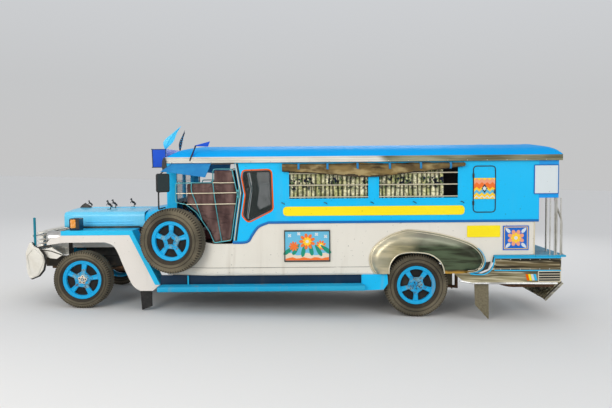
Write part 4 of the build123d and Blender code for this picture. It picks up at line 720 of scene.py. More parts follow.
def piece(name, shape, body, coats, slotName, replaced=(), bevel=0, levels=0, angle=38, thick=0):
    mesh = bpy.data.meshes.new(name)
    mesh.from_pydata(shape.verts, [], shape.faces)
    for key in coats if isinstance(coats, list) else [coats]:
        mesh.materials.append(finishes[key])
    mesh.polygons.foreach_set("material_index", shape.marks)
    bm = bmesh.new()
    bm.from_mesh(mesh)
    bmesh.ops.remove_doubles(bm, verts=bm.verts, dist=0.00002)
    bmesh.ops.dissolve_degenerate(bm, dist=0.00001, edges=bm.edges)
    bmesh.ops.recalc_face_normals(bm, faces=bm.faces)
    bm.to_mesh(mesh)
    bm.free()
    mesh.polygons.foreach_set("use_smooth", [True] * len(mesh.polygons))
    mesh.set_sharp_from_angle(angle=math.radians(angle))
    made = show(bpy.data.objects.new(name, mesh))
    if thick:
        shell = made.modifiers.new("thickness", "SOLIDIFY")
        shell.thickness, shell.offset = thick / 1000, -1
    if bevel:
        soften(made, bevel, 2, 40).harden_normals = True
    if levels:
        smooth = made.modifiers.new("smooth", "SUBSURF")
        smooth.levels = smooth.render_levels = levels
    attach(made, body)
    if replaced:
        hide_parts(*replaced)
    return made


def pairedPiece(name, shape, *rest, **more):
    # one shape of the left side and its mirror image, as one piece of the body
    return piece(name, shape.mirrored(), "body", *rest, **more)


def dress(finish, *nodes, bevel=2):
    for name in nodes:
        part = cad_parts[name]
        for entry in part.material_slots:
            entry.material = finishes[finish]
        if bevel:
            soften(part, bevel, 1, 50)


def ripple(u, v, seed, across, upright, size):
    return noise.noise(Vector((u / across, v / upright, seed))) * size


# camera and stage
camera = {"focal": 620, "picture": 612, "sensor": 36, "spot": (frontX / 1000 + 2.54449, -7.84, 1.67269),
    "pitch": 3.32, "roll": 1.44}
cam = show(bpy.data.objects.new("camera", bpy.data.cameras.new("camera")))
cam.data.sensor_width = camera["sensor"]
cam.data.lens = camera["focal"] / camera["picture"] * camera["sensor"]
cam.matrix_world = (
    Matrix.Translation(camera["spot"])
    @ Matrix.Rotation(math.radians(90 - camera["pitch"]), 4, "X")
    @ Matrix.Rotation(math.radians(camera["roll"]), 4, "Z")
)
bpy.context.scene.camera = cam
bpy.context.scene.view_settings.view_transform = "Standard"

studio = {"half": 60, "floor": (0.8, 0.79, 0.77, 1), "floorMarks": (0.76, 0.75, 0.73, 1), "level": 0.8,
    "aim": (0, 0, 0.8), "sky": [(0.0, (0.7, 0.7, 0.7, 1)), (0.12, (0.7, 0.71, 0.72, 1)),
        (0.5, (0.88, 0.91, 0.96, 1)), (1.0, (0.92, 0.94, 0.98, 1))]}
floorMesh = bpy.data.meshes.new("studioFloor")
floorMesh.from_pydata([(a * studio["half"], b * studio["half"], 0) for a, b in rectangle(-1, 1, -1, 1)],
    [], [[0, 1, 2, 3]])
studioFloor = show(bpy.data.objects.new("studioFloor", floorMesh))
floorCoat = Coat("studioFloor", {"Roughness": 0.9, "Specular IOR Level": 0.1})
floorMesh.materials.append(floorCoat.wear({
    "Base Color": floorCoat.blend(floorCoat.cloud(0.6, 2) * 0.3, studio["floor"], studio["floorMarks"]),
}))

world = bpy.data.worlds.new("studio")
bpy.context.scene.world = world
world.use_nodes = True
tree = world.node_tree
tree.nodes.clear()
light = tree.nodes.new("ShaderNodeBackground")
heading = tree.nodes.new("ShaderNodeTexCoord")
split = tree.nodes.new("ShaderNodeSeparateXYZ")
sky = tree.nodes.new("ShaderNodeValToRGB")
worldOut = tree.nodes.new("ShaderNodeOutputWorld")
while len(sky.color_ramp.elements) < len(studio["sky"]):
    sky.color_ramp.elements.new(1)
for element, (spot, colour) in zip(sky.color_ramp.elements, studio["sky"]):
    element.position, element.color = spot, colour
light.inputs[1].default_value = studio["level"]
links = ((heading.outputs["Generated"], split), (split.outputs["Z"], sky), (sky.outputs[0], light))
for source, node in links + ((light.outputs[0], worldOut),):
    tree.links.new(source, node.inputs[0])

lamps = [
    {"name": "keyLight", "spot": (-4.5, -9.5, 4.5), "size": 4, "watts": 400, "colour": (1, 0.97, 0.92)},
    {"name": "fillLight", "spot": (6, -8, 4), "size": 5, "watts": 110, "colour": (0.95, 0.97, 1)},
    {"name": "backLight", "spot": (1, 9, 4.5), "size": 6, "watts": 240, "colour": (1, 1, 1)},
]
for row in lamps:
    data = bpy.data.lights.new(row["name"], "AREA")
    data.size, data.energy, data.color = row["size"], row["watts"], row["colour"]
    lamp = show(bpy.data.objects.new(row["name"], data))
    lamp.location = row["spot"]
    lamp.rotation_euler = (Vector(studio["aim"]) - Vector(row["spot"])).to_track_quat("-Z", "Y").to_euler()
print("camera and lights set")

# under parts that show as the solids they are, with looks of their own
dress("frameBlack", "chassis_frame", "front_axle", "rear_axle", "knuckle_left",
    "knuckle_right", "spare_bracket")
dress("rust", "leaf_springs", "exhaust", "fuel_tank", bevel=0)
dress("floor", "floor")
dress("blue", "windscreen_frame")
dress("lining", "bench_frames")
dress("rodSteel", "gate_pins")
dress("glass", "glass", bevel=0)
dress("iron", "engine", bevel=8)


# wheels
wheelLooks = {"beadR": 205, "lipR": 222, "rimWidth": 150, "tyreWidth": 195, "spokes": 5, "holeIn": 88,
    "holeOut": 187, "holeInHalf": 36, "holeOutHalf": 83, "holeRadius": 31, "hubR": 52, "nutR": 7,
    "lugPitch": 4, "lugDepth": 7, "lugs": 75, "shoulder": 5, "wornR": 122, "spareTaper": (90, 515),
    "spareSpot": (1064, -994.8, 460)}


def wheelFrame(centre, outward):
    outward = Vector(outward).normalized()
    across = Vector((0, 0, 1)).cross(outward).normalized()
    upward = outward.cross(across)
    return lambda a, b, d: Vector(centre) + (across * a + upward * b + outward * d) / 1000


def turned(points, turn):
    along, across = math.cos(turn), math.sin(turn)
    return [(a * along - b * across, a * across + b * along) for a, b in points]


def rimShape(centre, outward, spin, drum):
    look = wheelLooks
    to = wheelFrame(centre, outward)
    shape = Shape()

    out, wide = look["holeOut"], look["holeOutHalf"]
    hole = rounded(
        [(look["holeIn"], -look["holeInHalf"]), (out - 22, -wide), (out - 2, -wide * 0.5), (out, 0),
            (out - 2, wide * 0.5),
         (out - 22, wide), (look["holeIn"], look["holeInHalf"])], look["holeRadius"], 4)
    holes = [turned(hole, spin + k * math.tau / look["spokes"]) for k in range(look["spokes"])]

    def dish(a, b):
        r = math.hypot(a, b)
        near = min(edgeDistance((a, b), h) for h in holes)
        # a rib along each hole
        crown = 3 * (1 - math.exp(-near / 5)) + 6 * math.exp(-((near - 9) / 6) ** 2)
        return -26 + crown + 8 * math.sin(min(1, r / 190) * math.pi) + 8 * max(0.0, 1 - r / 70)

    shape.plate(circle(0, 0, 196, 60), to, dish, lambda a, b: -40, 8, holes)
    for k, face in enumerate(shape.faces):
        middle = sum((shape.verts[i] for i in face), Vector()) / len(face)
        if (middle - Vector(centre)).length < look["wornR"] / 1000:
            shape.marks[k] = 4
    barrel = [(-10, 184), (-4, 192), (-5, 200), (1, 208), (1, 218), (-3, 222), (-8, 221), (-9, 206),
        (-60, 196), (-140, 206), (-143, 220), (-150, 220), (-150, 200), (-60, 184), (-26, 180), (-10, 184)]
    shape.lathe(barrel, centre, outward, 72)
    lobed = [look["hubR"] - 5 + 6 * math.cos(5 * (t - spin) + math.pi)
        for t in [k * math.tau / 50 for k in range(50)]]
    flat = [(r * math.cos(k * math.tau / 50), r * math.sin(k * math.tau / 50)) for k, r in enumerate(lobed)]
    shape.plate(flat, to, lambda a, b: -7 - 3 * (math.hypot(a, b) / 52) ** 2, -24, 14,
        [circle(0, 0, 19, 20)], 1)
    shape.lathe([(-6, 19.5), (-4, 22), (-4, 26), (-8, 27)], centre, outward, 30, 1)
    # a dark disc in the hub's centre hole: painted shade
    shape.lathe([(-22, 0.01), (-22, 19)], centre, outward, 20, 3)
    shape.lathe([(-22, 9), (-9, 9), (-7, 7), (-7, 0.01)], centre, outward, 12, 1)
    # dark bolt holes round the hub: painted shade
    for k in range(look["spokes"]):
        turn = spin + (k + 0.5) * math.tau / look["spokes"]
        spot = to(37 * math.cos(turn), 37 * math.sin(turn), 0)
        shape.lathe([(-9, look["nutR"]), (-2, look["nutR"]), (0, 5), (0, 0.01)], spot, outward, 6, 3)
    # a dark disc behind the spoke holes: painted shade
    shape.lathe([(-46, 16), (-46, 181)], centre, outward, 40, 3)
    if drum:
        shape.lathe([(-58, 30), (-58, 138), (-64, 144), (-112, 144), (-112, 30)], centre, outward, 40, 2)
        shape.lathe([(-48, 34), (-62, 40)], centre, outward, 24, 2)
    return shape


def tyreShape(centre, outward, outerR):
    look = wheelLooks
    half = look["tyreWidth"] / 2
    mid = -look["rimWidth"] / 2
    wall = outerR - look["lipR"]
    section = [(half - 30, 0.0), (half - 18, 5), (half - 8, 14), (half - 4, wall * 0.26),
        (half - 0.5, wall * 0.3), (half - 4, wall * 0.34), (half - 1, wall * 0.5), (half - 1, wall * 0.56),
        (half - 5, wall * 0.6), (half - 2.5, wall * 0.66), (half - 5, wall - 26), (half - 9, wall - 14),
        (half - 16, wall - 6), (half - 26, wall - 1), (half - 44, wall), (half - 46, wall - 8),
        (half - 52, wall - 8), (half - 54, wall), (14, wall), (12, wall - 8), (5, wall - 8), (3, wall)]
    profile = [(mid + a, look["lipR"] + b) for a, b in section]
    profile += [(mid - a, look["lipR"] + b) for a, b in reversed(section)]
    lugRows, sideRows, cutRows = {11, 12, 13, 14}, {10, 11}, {10, 11, 12, 13}
    last = len(profile) - 1

    def cut(s, p):
        return (s + (0 if p < last / 2 else 2)) % look["lugPitch"] == 0

    def lug(s, p, along, radius):
        row = min(p, last - p)
        if not cut(s, p):
            return along, radius
        inward = look["shoulder"] * (row in sideRows) * (-1 if p < last / 2 else 1)
        return along + inward, radius - look["lugDepth"] * (row in lugRows)

    inner = [(mid - half + 30, look["beadR"] + 1), (mid + half - 30, look["beadR"] + 1), profile[0]]
    rings = [1 if min(p, last - p) in (0, 1, 2, 3, 6) else 0 for p in range(len(profile) + 2)]
    steps = look["lugs"] * look["lugPitch"]
    shape = Shape().lathe(profile + inner, centre, outward, steps, change=lug, marks=rings)
    for k in range(len(shape.faces)):
        s, p = divmod(k, len(profile) + 2)
        if p < last and min(p, last - 1 - p) in cutRows and (cut(s, p) or cut(s + 1, p)):
            shape.marks[k] = 1
    return shape


def wheelPieces(tag, body, centre, outward, radius, spin, hubCoat, drum=True):
    piece(f"rim_{tag}_detail", rimShape(centre, outward, spin, drum), body,
          ["wheelBlue", hubCoat, "rust", "holeShade", "wheelWorn"], "deck_blue", ("rim_" + tag,), angle=32)
    piece(f"tyre_{tag}_detail", tyreShape(centre, outward, radius), body,
          ["tyre", "tyreDark"], "tyre_rubber", ("tyre_" + tag,), angle=30)


axles = [
    {"name": "front", "back": 0, "radius": stance["frontR"], "hub": "hub", "spins": (0.84, 0.1)},
    {"name": "rear", "back": stance["wheelbase"], "radius": stance["rearR"], "hub": "wheelWorn",
        "spins": (0.32, 0.6)},
]
for row in axles:
    for (side, tag), spin in zip(bothSides, row["spins"]):
        name = row["name"] + "_" + tag
        centre = Vector((frontX + row["back"], side * stance["halfTrack"], row["radius"])) / 1000
        wheelPieces(name, "wheel_" + name, centre, (0, side, 0), row["radius"], spin, row["hub"])
taper = math.atan2(*wheelLooks["spareTaper"])
spareAxis = -(Vector((0, math.cos(taper), 0)) + uDir * math.sin(taper))
wheelPieces("spare", "body", at(*wheelLooks["spareSpot"]), spareAxis, stance["rearR"], 0.942,
    "wheelWorn", False)
print("wheels made")


# side walls
sideLooks = {"wall": 870, "wallFrom": 1500, "cowl": 780, "cowlFrom": 985, "skin": 25,
    "dent": 5.0, "archR": 430}


def sideY(u):
    wall, cowl, low, high = (sideLooks[key] for key in ("wall", "cowl", "cowlFrom", "wallFrom"))
    return wall if u >= high else cowl + (u - low) * (wall - cowl) / (high - low)


def innerSide(u, v):
    return -(sideY(u) - sideLooks["skin"])


swoop = [(1746, 431), (1910, 435), (1966, 511), (2035, 600), (2144, 641)]
doorCurve = [(1530, 410), (1440, 425), (1340, 480), (1240, 600), (1180, 740), (1110, 800)]
archR = sideLooks["archR"]
archTurns = [math.radians(a) for a in range(161, 18, -6)]
archPoints = [(rearU + archR * math.cos(t), -stance["drop"] + archR * math.sin(t)) for t in archTurns]
lowerOutline = ([(985, 50), (985, 800)] + doorCurve[::-1] + [(1734, 410)] + swoop
    + [(5150, 641), (5150, 262), (4690, 262), (4670, 160), (4630, 100), (4560, 78), (4530, 50)]
    + archPoints[::-1])
quarter = rounded([(1881, 1220), (2173, 1229), (2185, 801), (1919, 673), (1875, 736), (1906, 961),
    (1873, 1153)], 26, 4)
windows = [(2377, 3285), (3388, 4293)]
windowLoops = [rectangle(a, b, 905, 1294, 18, 3) for a, b in windows]
upperOutline = [(1746, 431), (1771, 624), (1822, 951), (1822, 1018), (1771, 1324), (5193, 1324),
    (5193, 641)] + swoop[:0:-1]


def whiteDepth(u, v):
    dents = ripple(u, v, 3, 420, 300, sideLooks["dent"]) + ripple(u, v, 9, 150, 130, 1.6)
    # a groove, then the ledge below it
    crease = 5 * (1 / (1 + math.exp((v - 128) / 2))) - 6 * math.exp(-(((v - 136) / 5) ** 2))
    tuck = -10 * max(0, (66 - v) / 16) ** 2 if v < 66 else 0
    hold = min(1, max(0, (641 - v) / 60), max(0, (5150 - u) / 60))
    return -(sideY(u) + (dents * hold + crease + tuck))


lowerSides = Shape().plate(lowerOutline, onSide, whiteDepth, innerSide, 40, backMark=1)
pairedPiece("lower_side_panels", lowerSides, ["white", "lining"], "body_white", ("lower_sides",), angle=30)
creases = Shape()
for v in (137, 108):
    creases.sweep([at(u, -(sideY(u) + 1.5), v) for u in range(1010, 3300, 60)], strip(2, -2, 2), up=outY)
pairedPiece("panel_shadow_lines", creases, "lining", "body_white", angle=50)


def blueDepth(u, v):
    return -(sideY(u) + ripple(u, v, 21, 500, 340, 2.5) * min(1, max(0, (v - 641) / 80),
        max(0, (1324 - v) / 60)))


upperSides = Shape().plate(upperOutline, onSide, blueDepth, innerSide, 45,
    windowLoops + [quarter], backMark=1)
pairedPiece("upper_side_panels", upperSides, ["blue", "lining"], "body_blue", ("upper_sides",), angle=30)


def sidePath(points, proud=2.0):
    return [at(u, -(sideY(u) + proud), v) for u, v in points]


trims = Shape()
# a moulding under the blue panel's edge in darker blue: partly its own colour, partly painted shade under the
# edge
beltCurve = smoothPath([(1742, 424), (1905, 431), (1966, 511), (2035, 600), (2144, 646)], 5)[:-1]
beltPath = beltCurve + [(2144 + k * 190, 648) for k in range(17)] + [(5193, 648)]
trims.sweep(sidePath(beltPath, 3), [(-14, -4), (-13, 5), (-6, 10), (6, 10), (13, 5), (14, -4)], up=outY)
pairedPiece("belt_moulding", trims, "deep", "body_blue", angle=50)

frames = Shape()
for loop in windowLoops:
    frames.sweep(sidePath(loop, 0), [(-10, -4), (-8, 3), (8, 3), (10, -4)], closed=True, up=outY)
pairedPiece("window_edges", frames, "blue", "body_blue", angle=50)
rubberTrim = Shape()
rubberTrim.sweep(sidePath(quarter, 1), [(-9, -6), (-9, 4), (-4, 7), (4, 7), (9, 4), (9, -6)],
    closed=True, up=outY)
hatch = rectangle(4456, 4704, 747, 1265, 46, 6)
rubberTrim.sweep(sidePath(hatch, 1), [(-6, -4), (-5, 4), (0, 6), (5, 4), (6, -4)], closed=True, up=outY)
pairedPiece("window_rubbers", rubberTrim, "rubber", "black_plastic", angle=50)

outline = Shape()
outer = rounded([(1862, 1238), (2191, 1248), (2204, 790), (1922, 648), (1853, 726), (1890, 961),
    (1853, 1160)], 58, 6)
outline.sweep(sidePath(outer, 1), [(-8, -3), (-7, 3), (7, 3), (8, -3)], closed=True, up=outY)
pairedPiece("quarter_window_line", outline, "orange", "body_blue", angle=50)

routeStrip = Shape().plate(rectangle(2315, 4359, 721, 826, 50, 8), onSide, -877, -870.5, 70)
pairedPiece("route_strip", routeStrip, "yellow", "body_white", bevel=1.5)

plateSpot = Shape().plate(rectangle(4388, 4761, 465, 596, 8, 3), onSide, -879, -871, 90)
pairedPiece("side_plate_panel", plateSpot, "yellow", "body_white", bevel=1.5)
print("sides made")


# roof
roofLooks = {
    "top": 750, "topV": 1478, "crown": 54, "side": 150, "fall": 92, "blend": 14, "skin": 18,
    "seamPitch": 560, "seam": 3.5, "seamHalf": 840,
    "outline": [(1010, 1388), (1084, 1433), (1174, 1480), (1342, 1534), (5265, 1534),
        (5400, 1450), (5444, 1405)],
}


def roofSection(y):
    look, a = roofLooks, abs(y)
    if a <= look["top"]:
        return look["topV"] + look["crown"] * (1 - (a / look["top"]) ** 2)
    t = (a - look["top"]) / look["side"]
    return look["topV"] - look["fall"] * (0.42 * t + 0.58 * t**3)


def roofV(u, y):
    look = roofLooks
    a, b = roofSection(y), heightAt(look["outline"], u)
    h = max(look["blend"] - abs(a - b), 0) / look["blend"]
    seam = look["seam"] * math.exp(-((((u - 1300) % look["seamPitch"]) - 40) / 9) ** 2)
    return min(a, b) - h * h * look["blend"] / 4 + (seam if abs(y) < look["seamHalf"] else 0)


roofUs = [1010 + 12 * k for k in range(30)] + [1370 + 27.5 * k for k in range(140)]
roofUs = [u for u in roofUs if u < 5240] + [5240 + 17 * k for k in range(13)]
roofEdge = [900, 897, 890, 880, 868, 850, 830, 800, 770]
roofYs = [-y for y in roofEdge] + [-740 + 46.25 * k for k in range(33)] + roofEdge[::-1]
roof = Shape().add([at(u, y, roofV(u, y)) for u in roofUs for y in roofYs],
    gridFaces(len(roofUs), len(roofYs)))
piece("roof_shell", roof, "body", "roofBlue", "body_blue", ("roof",), thick=roofLooks["skin"], angle=30)

railSection = [(-880, 1324), (-902, 1324), (-906, 1328), (-902, 1334), (-901, 1346), (-906, 1352),
    (-906, 1360), (-901, 1366), (-901, 1378), (-905, 1384), (-900, 1390), (-760, 1390),
    (-760, 1380), (-880, 1378)]
roofRails = Shape().loft([[at(u, y, v) for y, v in railSection] for u in (1008, 1009, 5443, 5446)]).mirrored()
roofRails.block(1008, 1030, -760, 760, 1324, 1386)
roofRails.block(5424, 5446, -760, 760, 1324, 1386)
piece("roof_side_rails", roofRails, "body", "rail", "bright_metal", ("roof_rails",), bevel=1.5)
quilt = {"front": 1060, "rear": 5380, "half": 730, "panels": 16, "panelWidth": 243.4, "top": 1392, "puff": 14}
quilted = []
for k in range(quilt["panels"] * 8 + 1):
    t = k / 8
    u = quilt["front"] + (quilt["rear"] - quilt["front"]) * t / quilt["panels"]
    for i in range(49):
        y = -quilt["half"] + quilt["half"] / 24 * i
        across = abs(math.sin((y + quilt["half"]) / quilt["panelWidth"] * math.pi)) ** 0.4
        quilted.append(at(u, y, quilt["top"] - quilt["puff"] * abs(math.sin(t * math.pi)) ** 0.5 * across))
ceiling = Shape().add(quilted, gridFaces(quilt["panels"] * 8 + 1, 49))
piece("ceiling_lining", ceiling, "body", "ceiling", "seat_vinyl", thick=4, angle=180)
print("roof made")

# rear header over the entrance
header = Shape()
header.plate([(5193, 641), (5200, 641), (5200, 903), (5417, 903), (5417, 1324), (5193, 1324)],
    onSide, -870, -845, 60)
header.mirrored()
header.plate([(-845, 903), (-640, 903), (-600, 1130), (600, 1130), (640, 903), (845, 903), (845, 1324),
    (-845, 1324)], onCross, 5417, 5395, 70)
piece("rear_header_panels", header, "body", "shadeBlue", "body_blue", ("rear_header",), bevel=3)
notice = Shape().plate(rectangle(5137, 5412, 947, 1275, 4, 2), onSide, -877, -870.5, 60).mirrored()
piece("notice_boards", notice, "body", "board", "body_white", bevel=1)
noticeEdge = Shape().sweep(sidePath(rectangle(5140, 5409, 950, 1272, 4, 2), 6), strip(5, -2, 3), closed=True,
    up=outY).mirrored()
piece("notice_edges", noticeEdge, "body", "deep", "body_blue", angle=50)

# rear fenders
fenderLooks = {"wall": 873, "flange": 24, "step": 5, "roll": 85, "swell": 48}
fenderTop = smoothPath([(3345, 60), (3310, 110), (3284, 228), (3333, 357), (3467, 469), (3624, 535),
    (3769, 554), (4099, 503), (4390, 414), (4525, 325), (4584, 217), (4560, 120), (4490, 72), (4400, 62)], 4)
fenderArch = smoothPath([(4126, 62), (4112, 130), (4070, 205), (3956, 281), (3772, 304), (3618, 284),
    (3540, 215), (3506, 140), (3500, 62)], 4)
fenderLoop = fenderTop + fenderArch


def fenderDepth(u, v):
    look = fenderLooks
    d = edgeDistance((u, v), fenderTop, closed=False)
    if d < look["flange"]:
        return -(look["wall"] + look["step"] * d / look["flange"])
    t = min(1, (d - look["flange"]) / look["roll"])
    roll = look["swell"] * math.sin(t * math.pi / 2) ** 0.8
    return -(look["wall"] + look["step"] + roll + ripple(u, v, 5, 160, 120, 2.5) * t)


rearFenders = Shape().plate(fenderLoop, onSide, fenderDepth, -865, 17)
pairedPiece("rear_fender_skins", rearFenders, "dull", "dull_metal", ("rear_fenders",), angle=50)
beads = Shape()
for inset, proud, size in ((2, 9, 7), (24, 11, 5)):
    ring = []
    for i, (u, v) in enumerate(fenderTop):
        a, b = Vector(fenderTop[max(0, i - 1)]), Vector(fenderTop[min(len(fenderTop) - 1, i + 1)])
        normal = Vector((b.y - a.y, a.x - b.x)).normalized()
        ring.append(at(u + normal.x * inset, -(868 + proud), v + normal.y * inset))
    beads.tube(ring, size, 8)
beads.tube(lineAt(-926, fenderArch), 8, 8)
pairedPiece("rear_fender_beads", beads, "barCream", "bright_metal", angle=60)
tails = Shape()
# a black plate in the gap behind the fender's tail: painted shade
tails.plate([(4330, 52), (4500, 66), (4566, 100), (4594, 176), (4652, 186), (4624, 106), (4560, 78),
    (4440, 44)], onSide, -888, -870, 30)
tails.sweep([at(u + 7, -892, v - 5) for u, v in fenderTop[35:]], strip(4, -3, 3), up=outY, mark=1)
pairedPiece("fender_tail_gap_shade", tails, ["rubber", "trimBlue"], "body_blue", angle=50)
print("rear fenders made")

# running boards and sills
boards = Shape()
boards.block(905.5, 3224, -996, -820, -64, -58, 0)
for row in range(8):
    boards.block(930, 3200, -990 + row * 21, -982 + row * 21, -60, -54, 0)
pairedPiece("running_board_tops", boards, "boardBlue", "tread_plate", bevel=1)
boardEdge = [(-985, -58), (-996, -60), (-1000, -66), (-1000, -104), (-996, -111), (-830, -112),
    (-830, -100), (-985, -98)]
edges = Shape().loft([[at(u, y, v) for y, v in boardEdge] for u in (905.5, 907, 3222, 3224)])
pairedPiece("running_board_edges", edges, "boardBlue", "body_blue", ("running_boards",), bevel=1.5)
# the sill panels are very dark blue: painted shade in the recess behind the running boards
sills = Shape()
sills.plate([(905.5, -112), (3224, -112), (3224, 224), (1500, 224), (1500, 49), (905.5, 49)], onSide,
    lambda u, v: -(820 + 3 * math.sin(v / 14)), -800, 60)
pairedPiece("sill_panels", sills, "sillBlue", "deck_blue", angle=40)
skirts = Shape().plate(rounded([(3205, 50), (3490, 50), (3497, -57), (3448, -125), (3205, -134)], 14, 3),
    onSide, -872, -845, 40)
pairedPiece("rear_skirts", skirts, "blue", "body_blue", bevel=3)
posts = Shape()
for u in (3196, 1218):
    posts.block(u, u + 16, -852, -836, -58, 50)
pairedPiece("sill_posts", posts, "fenderBlue", "body_blue", bevel=2)

# front fenders
fenderCurve = smoothPath([(682, -120), (617, -77), (562, 10), (482, 201), (438, 314), (384, 400), (291, 438)],
    4)
fenderFace = [(-366, 433), (-338, 472), (-200, 520), (-200, 567), (600, 567), (905, -52),
    (823, -121), (682, -120)]
fenderFace += fenderCurve[1:] + [(-179, 437), (-366, 411)]
frontFenders = Shape()
frontFenders.plate(fenderFace, onSide, lambda u, v: -(860 + ripple(u, v, 14, 200, 160, 1.2)), -840, 36)
pairedPiece("front_fender_faces", frontFenders, "fenderWhite", "body_white", ("front_fenders",), bevel=3)
fenderTops = Shape()
fenderTops.slab([(-204, 518), (-204, 571), (603, 571), (911, -52), (851, -52), (571, 518)],
    onSide, -864, -857)
fenderTops.slab([(-204, 567), (600, 567), (594, 553), (-204, 553)], onSide, -862, -506)
fenderTops.slab([(601, 571), (909, -52), (891, -52), (585, 567)], onSide, -862, -615)
# black sheets in the gaps at the fender's front, under the hood's edge and beside the grille: painted shade
fenderTops.slab(rectangle(-204, -184, 567, 437), onSide, -858, -506, 1)
fenderTops.slab(rectangle(-200, 600, 567.5, 588), onSide, -511, -505, 1)
fenderTops.slab(rectangle(-262, -200, 225, 437), onSide, -488, -481, 1)
pairedPiece("front_fender_tops", fenderTops, ["fenderBlue", "frameBlack"], "body_blue", bevel=3)
splash = Shape()
splash.slab(rectangle(-200, 592, 551, 340), onSide, -522, -506)
splash.slab([(-366, 433), (-338, 472), (-200, 520), (-200, 504), (-330, 457), (-353, 433)],
    onSide, -858, -700)
pairedPiece("front_splash_walls", splash, "fenderWhite", "body_white", bevel=2)
print("boards and front fenders made")

# hood, cowl and grille
hoodLooks = {
    "half": 500, "edgeV": 578, "sideTall": 134, "rollWide": 52, "rollTall": 48, "crown": 22,
    "noseU": -285, "skin": 12,
}


def hoodCrown(y):
    # how high the hood's top stands at y
    look = hoodLooks
    top = look["edgeV"] + look["sideTall"] + look["rollTall"]
    return top + look["crown"] * (1 - (y / (look["half"] - look["rollWide"])) ** 2)


def hoodRing(u):
    look = hoodLooks
    inward = 0 if u > look["noseU"] else (look["noseU"] - u) * 0.6
    shoulder = look["edgeV"] + look["sideTall"]
    ring = []
    for k in range(41):
        t = k / 40 * 2 - 1
        if abs(t) > 0.8:
            y, v = math.copysign(look["half"], t), look["edgeV"] + (1 - abs(t)) / 0.2 * look["sideTall"]
        elif abs(t) > 0.62:
            s = (0.8 - abs(t)) / 0.18 * math.pi / 2
            y = math.copysign(look["half"] - look["rollWide"] * (1 - math.cos(s)), t)
            v = shoulder + look["rollTall"] * math.sin(s)
        else:
            y = t / 0.62 * (look["half"] - look["rollWide"])
            v = hoodCrown(y)
        ring.append(at(u, y * (1 - inward / 800), v - inward * (0.6 if v > 700 else 0)))
    return ring


hood = Shape().loft([hoodRing(u) for u in (-300, -296, -290, -280, -200, 0, 200, 400, 560, 640, 652, 656)],
    closed=False)
piece("hood_skin", hood, "hood", "hoodBlue", "body_blue", ("hood",), thick=hoodLooks["skin"], angle=40)
hoodTrim = Shape()
hoodTrim.tube([at(u, 0, 783) for u in (-120, 0, 200, 400, 600, 640)], 6, 8)
for v in (612, 640):
    for y in (-503, 503):
        hoodTrim.tube([at(u, y, v) for u in (-40, 100, 300, 520)], 5, 6)
piece("hood_trim_strips", hoodTrim, "hood", "hoodBlue", "body_blue", angle=60)

cowlLooks = {"front": 662, "rear": 984.7, "frontHalf": 500, "spread": 265, "roll": 60, "top": 850}


def cowlRing(u):
    look = cowlLooks
    t = (u - look["front"]) / (look["rear"] - look["front"])
    w, r, top = look["frontHalf"] + look["spread"] * t, look["roll"], look["top"]
    edge = [(w, 225), (w, 400), (w, 600), (w, top - r), (w - r * 0.3, top - r * 0.3), (w - r, top)]
    over = [(-w + r + (2 * w - 2 * r) * k / 10, top) for k in range(1, 10)]
    ring = []
    for y, v in [(-y, v) for y, v in edge] + over + edge[::-1]:
        ring.append(at(u, y, v - (1 - t) * (60 * (abs(y) / w) ** 2 + 62) * max(0, (v - 600) / 250)))
    return ring


cowlUs = (cowlLooks["front"], 664, 672, 700, 760, 820, 880, 940, 980, cowlLooks["rear"])
cowlShape = Shape().loft([cowlRing(u) for u in cowlUs], closed=False)
piece("cowl_shell", cowlShape, "body", "blue", "body_blue", ("cowl",), thick=14, angle=40)
grille = Shape()
grille.plate(rounded([(-478, 225), (478, 225), (478, 700), (440, 752), (-440, 752), (-478, 700)], 24, 4),
    onCross, -252, -205, 80, [rectangle(-372, 372, 300, 700, 20, 3)])
for k in range(9):
    y = (k - 4) * 74
    grille.slab(rectangle(y - 12, y + 12, 298, 702, 8, 2), onCross, -262, -236, 1)
grille.slab(rectangle(-380, 380, 488, 512, 8, 2), onCross, -266, -238, 1)
grille.slab(rectangle(-372, 372, 300, 700), onCross, -212, -207, 2)
piece("grille_frame", grille, "body", ["blue", "chrome", "flapBlack"], "bright_metal",
    ("grille_shell",), bevel=2)
print("hood, cowl and grille made")

# lamps
for side, tag in bothSides:
    lamp = Shape()
    spot = at(-440, side * 610, 470)
    lamp.lathe([(238, 30), (230, 52), (120, 74), (30, 80), (4, 82), (-2, 79), (0, 72), (14, 70)],
        spot, uDir, 40, 0)
    lamp.lathe([(10, 71), (2, 66), (-6, 50), (-11, 28), (-13, 0.01)], spot, uDir, 40, 1)
    lamp.lathe([(16, 0.01), (16, 70)], spot, uDir, 40, 0)
    piece("headlamp_" + tag, lamp, "body", ["chrome", "clear"], "bright_metal", ("headlamps",), angle=50)
turnLamps = Shape()
turnLamps.slab(rectangle(-135, -17, 567.5, 705, 14, 3), onSide, -776, -655, 0)
turnLamps.slab(rectangle(-122, -62, 596, 694, 10, 3), onSide, -786, -770, 1)
turnLamps.slab(rectangle(-128, -24, 582, 699, 10, 3), onSide, -779, -772, 2)
turnLamps.slab(rectangle(-768, -668, 584, 694, 10, 3), onCross, -141, -130, 2)
turnLamps.slab(rectangle(-758, -678, 592, 686, 8, 3), onCross, -144, -138, 1)
pairedPiece("turn_lamp_housings", turnLamps, ["sillBlue", "amber", "black"], "lamp_amber",
    ("turn_lamps",), bevel=2)

# bumper and guard
bumper = Shape()
bumperSection = [(0, 136), (10, 128), (42, 128), (50, 140), (50, 330), (40, 336), (8, 336), (0, 328),
    (-6, 290), (4, 262), (4, 208), (-6, 182)]


def bumperU(y):
    return -700 + 100 * (y / 860) ** 2


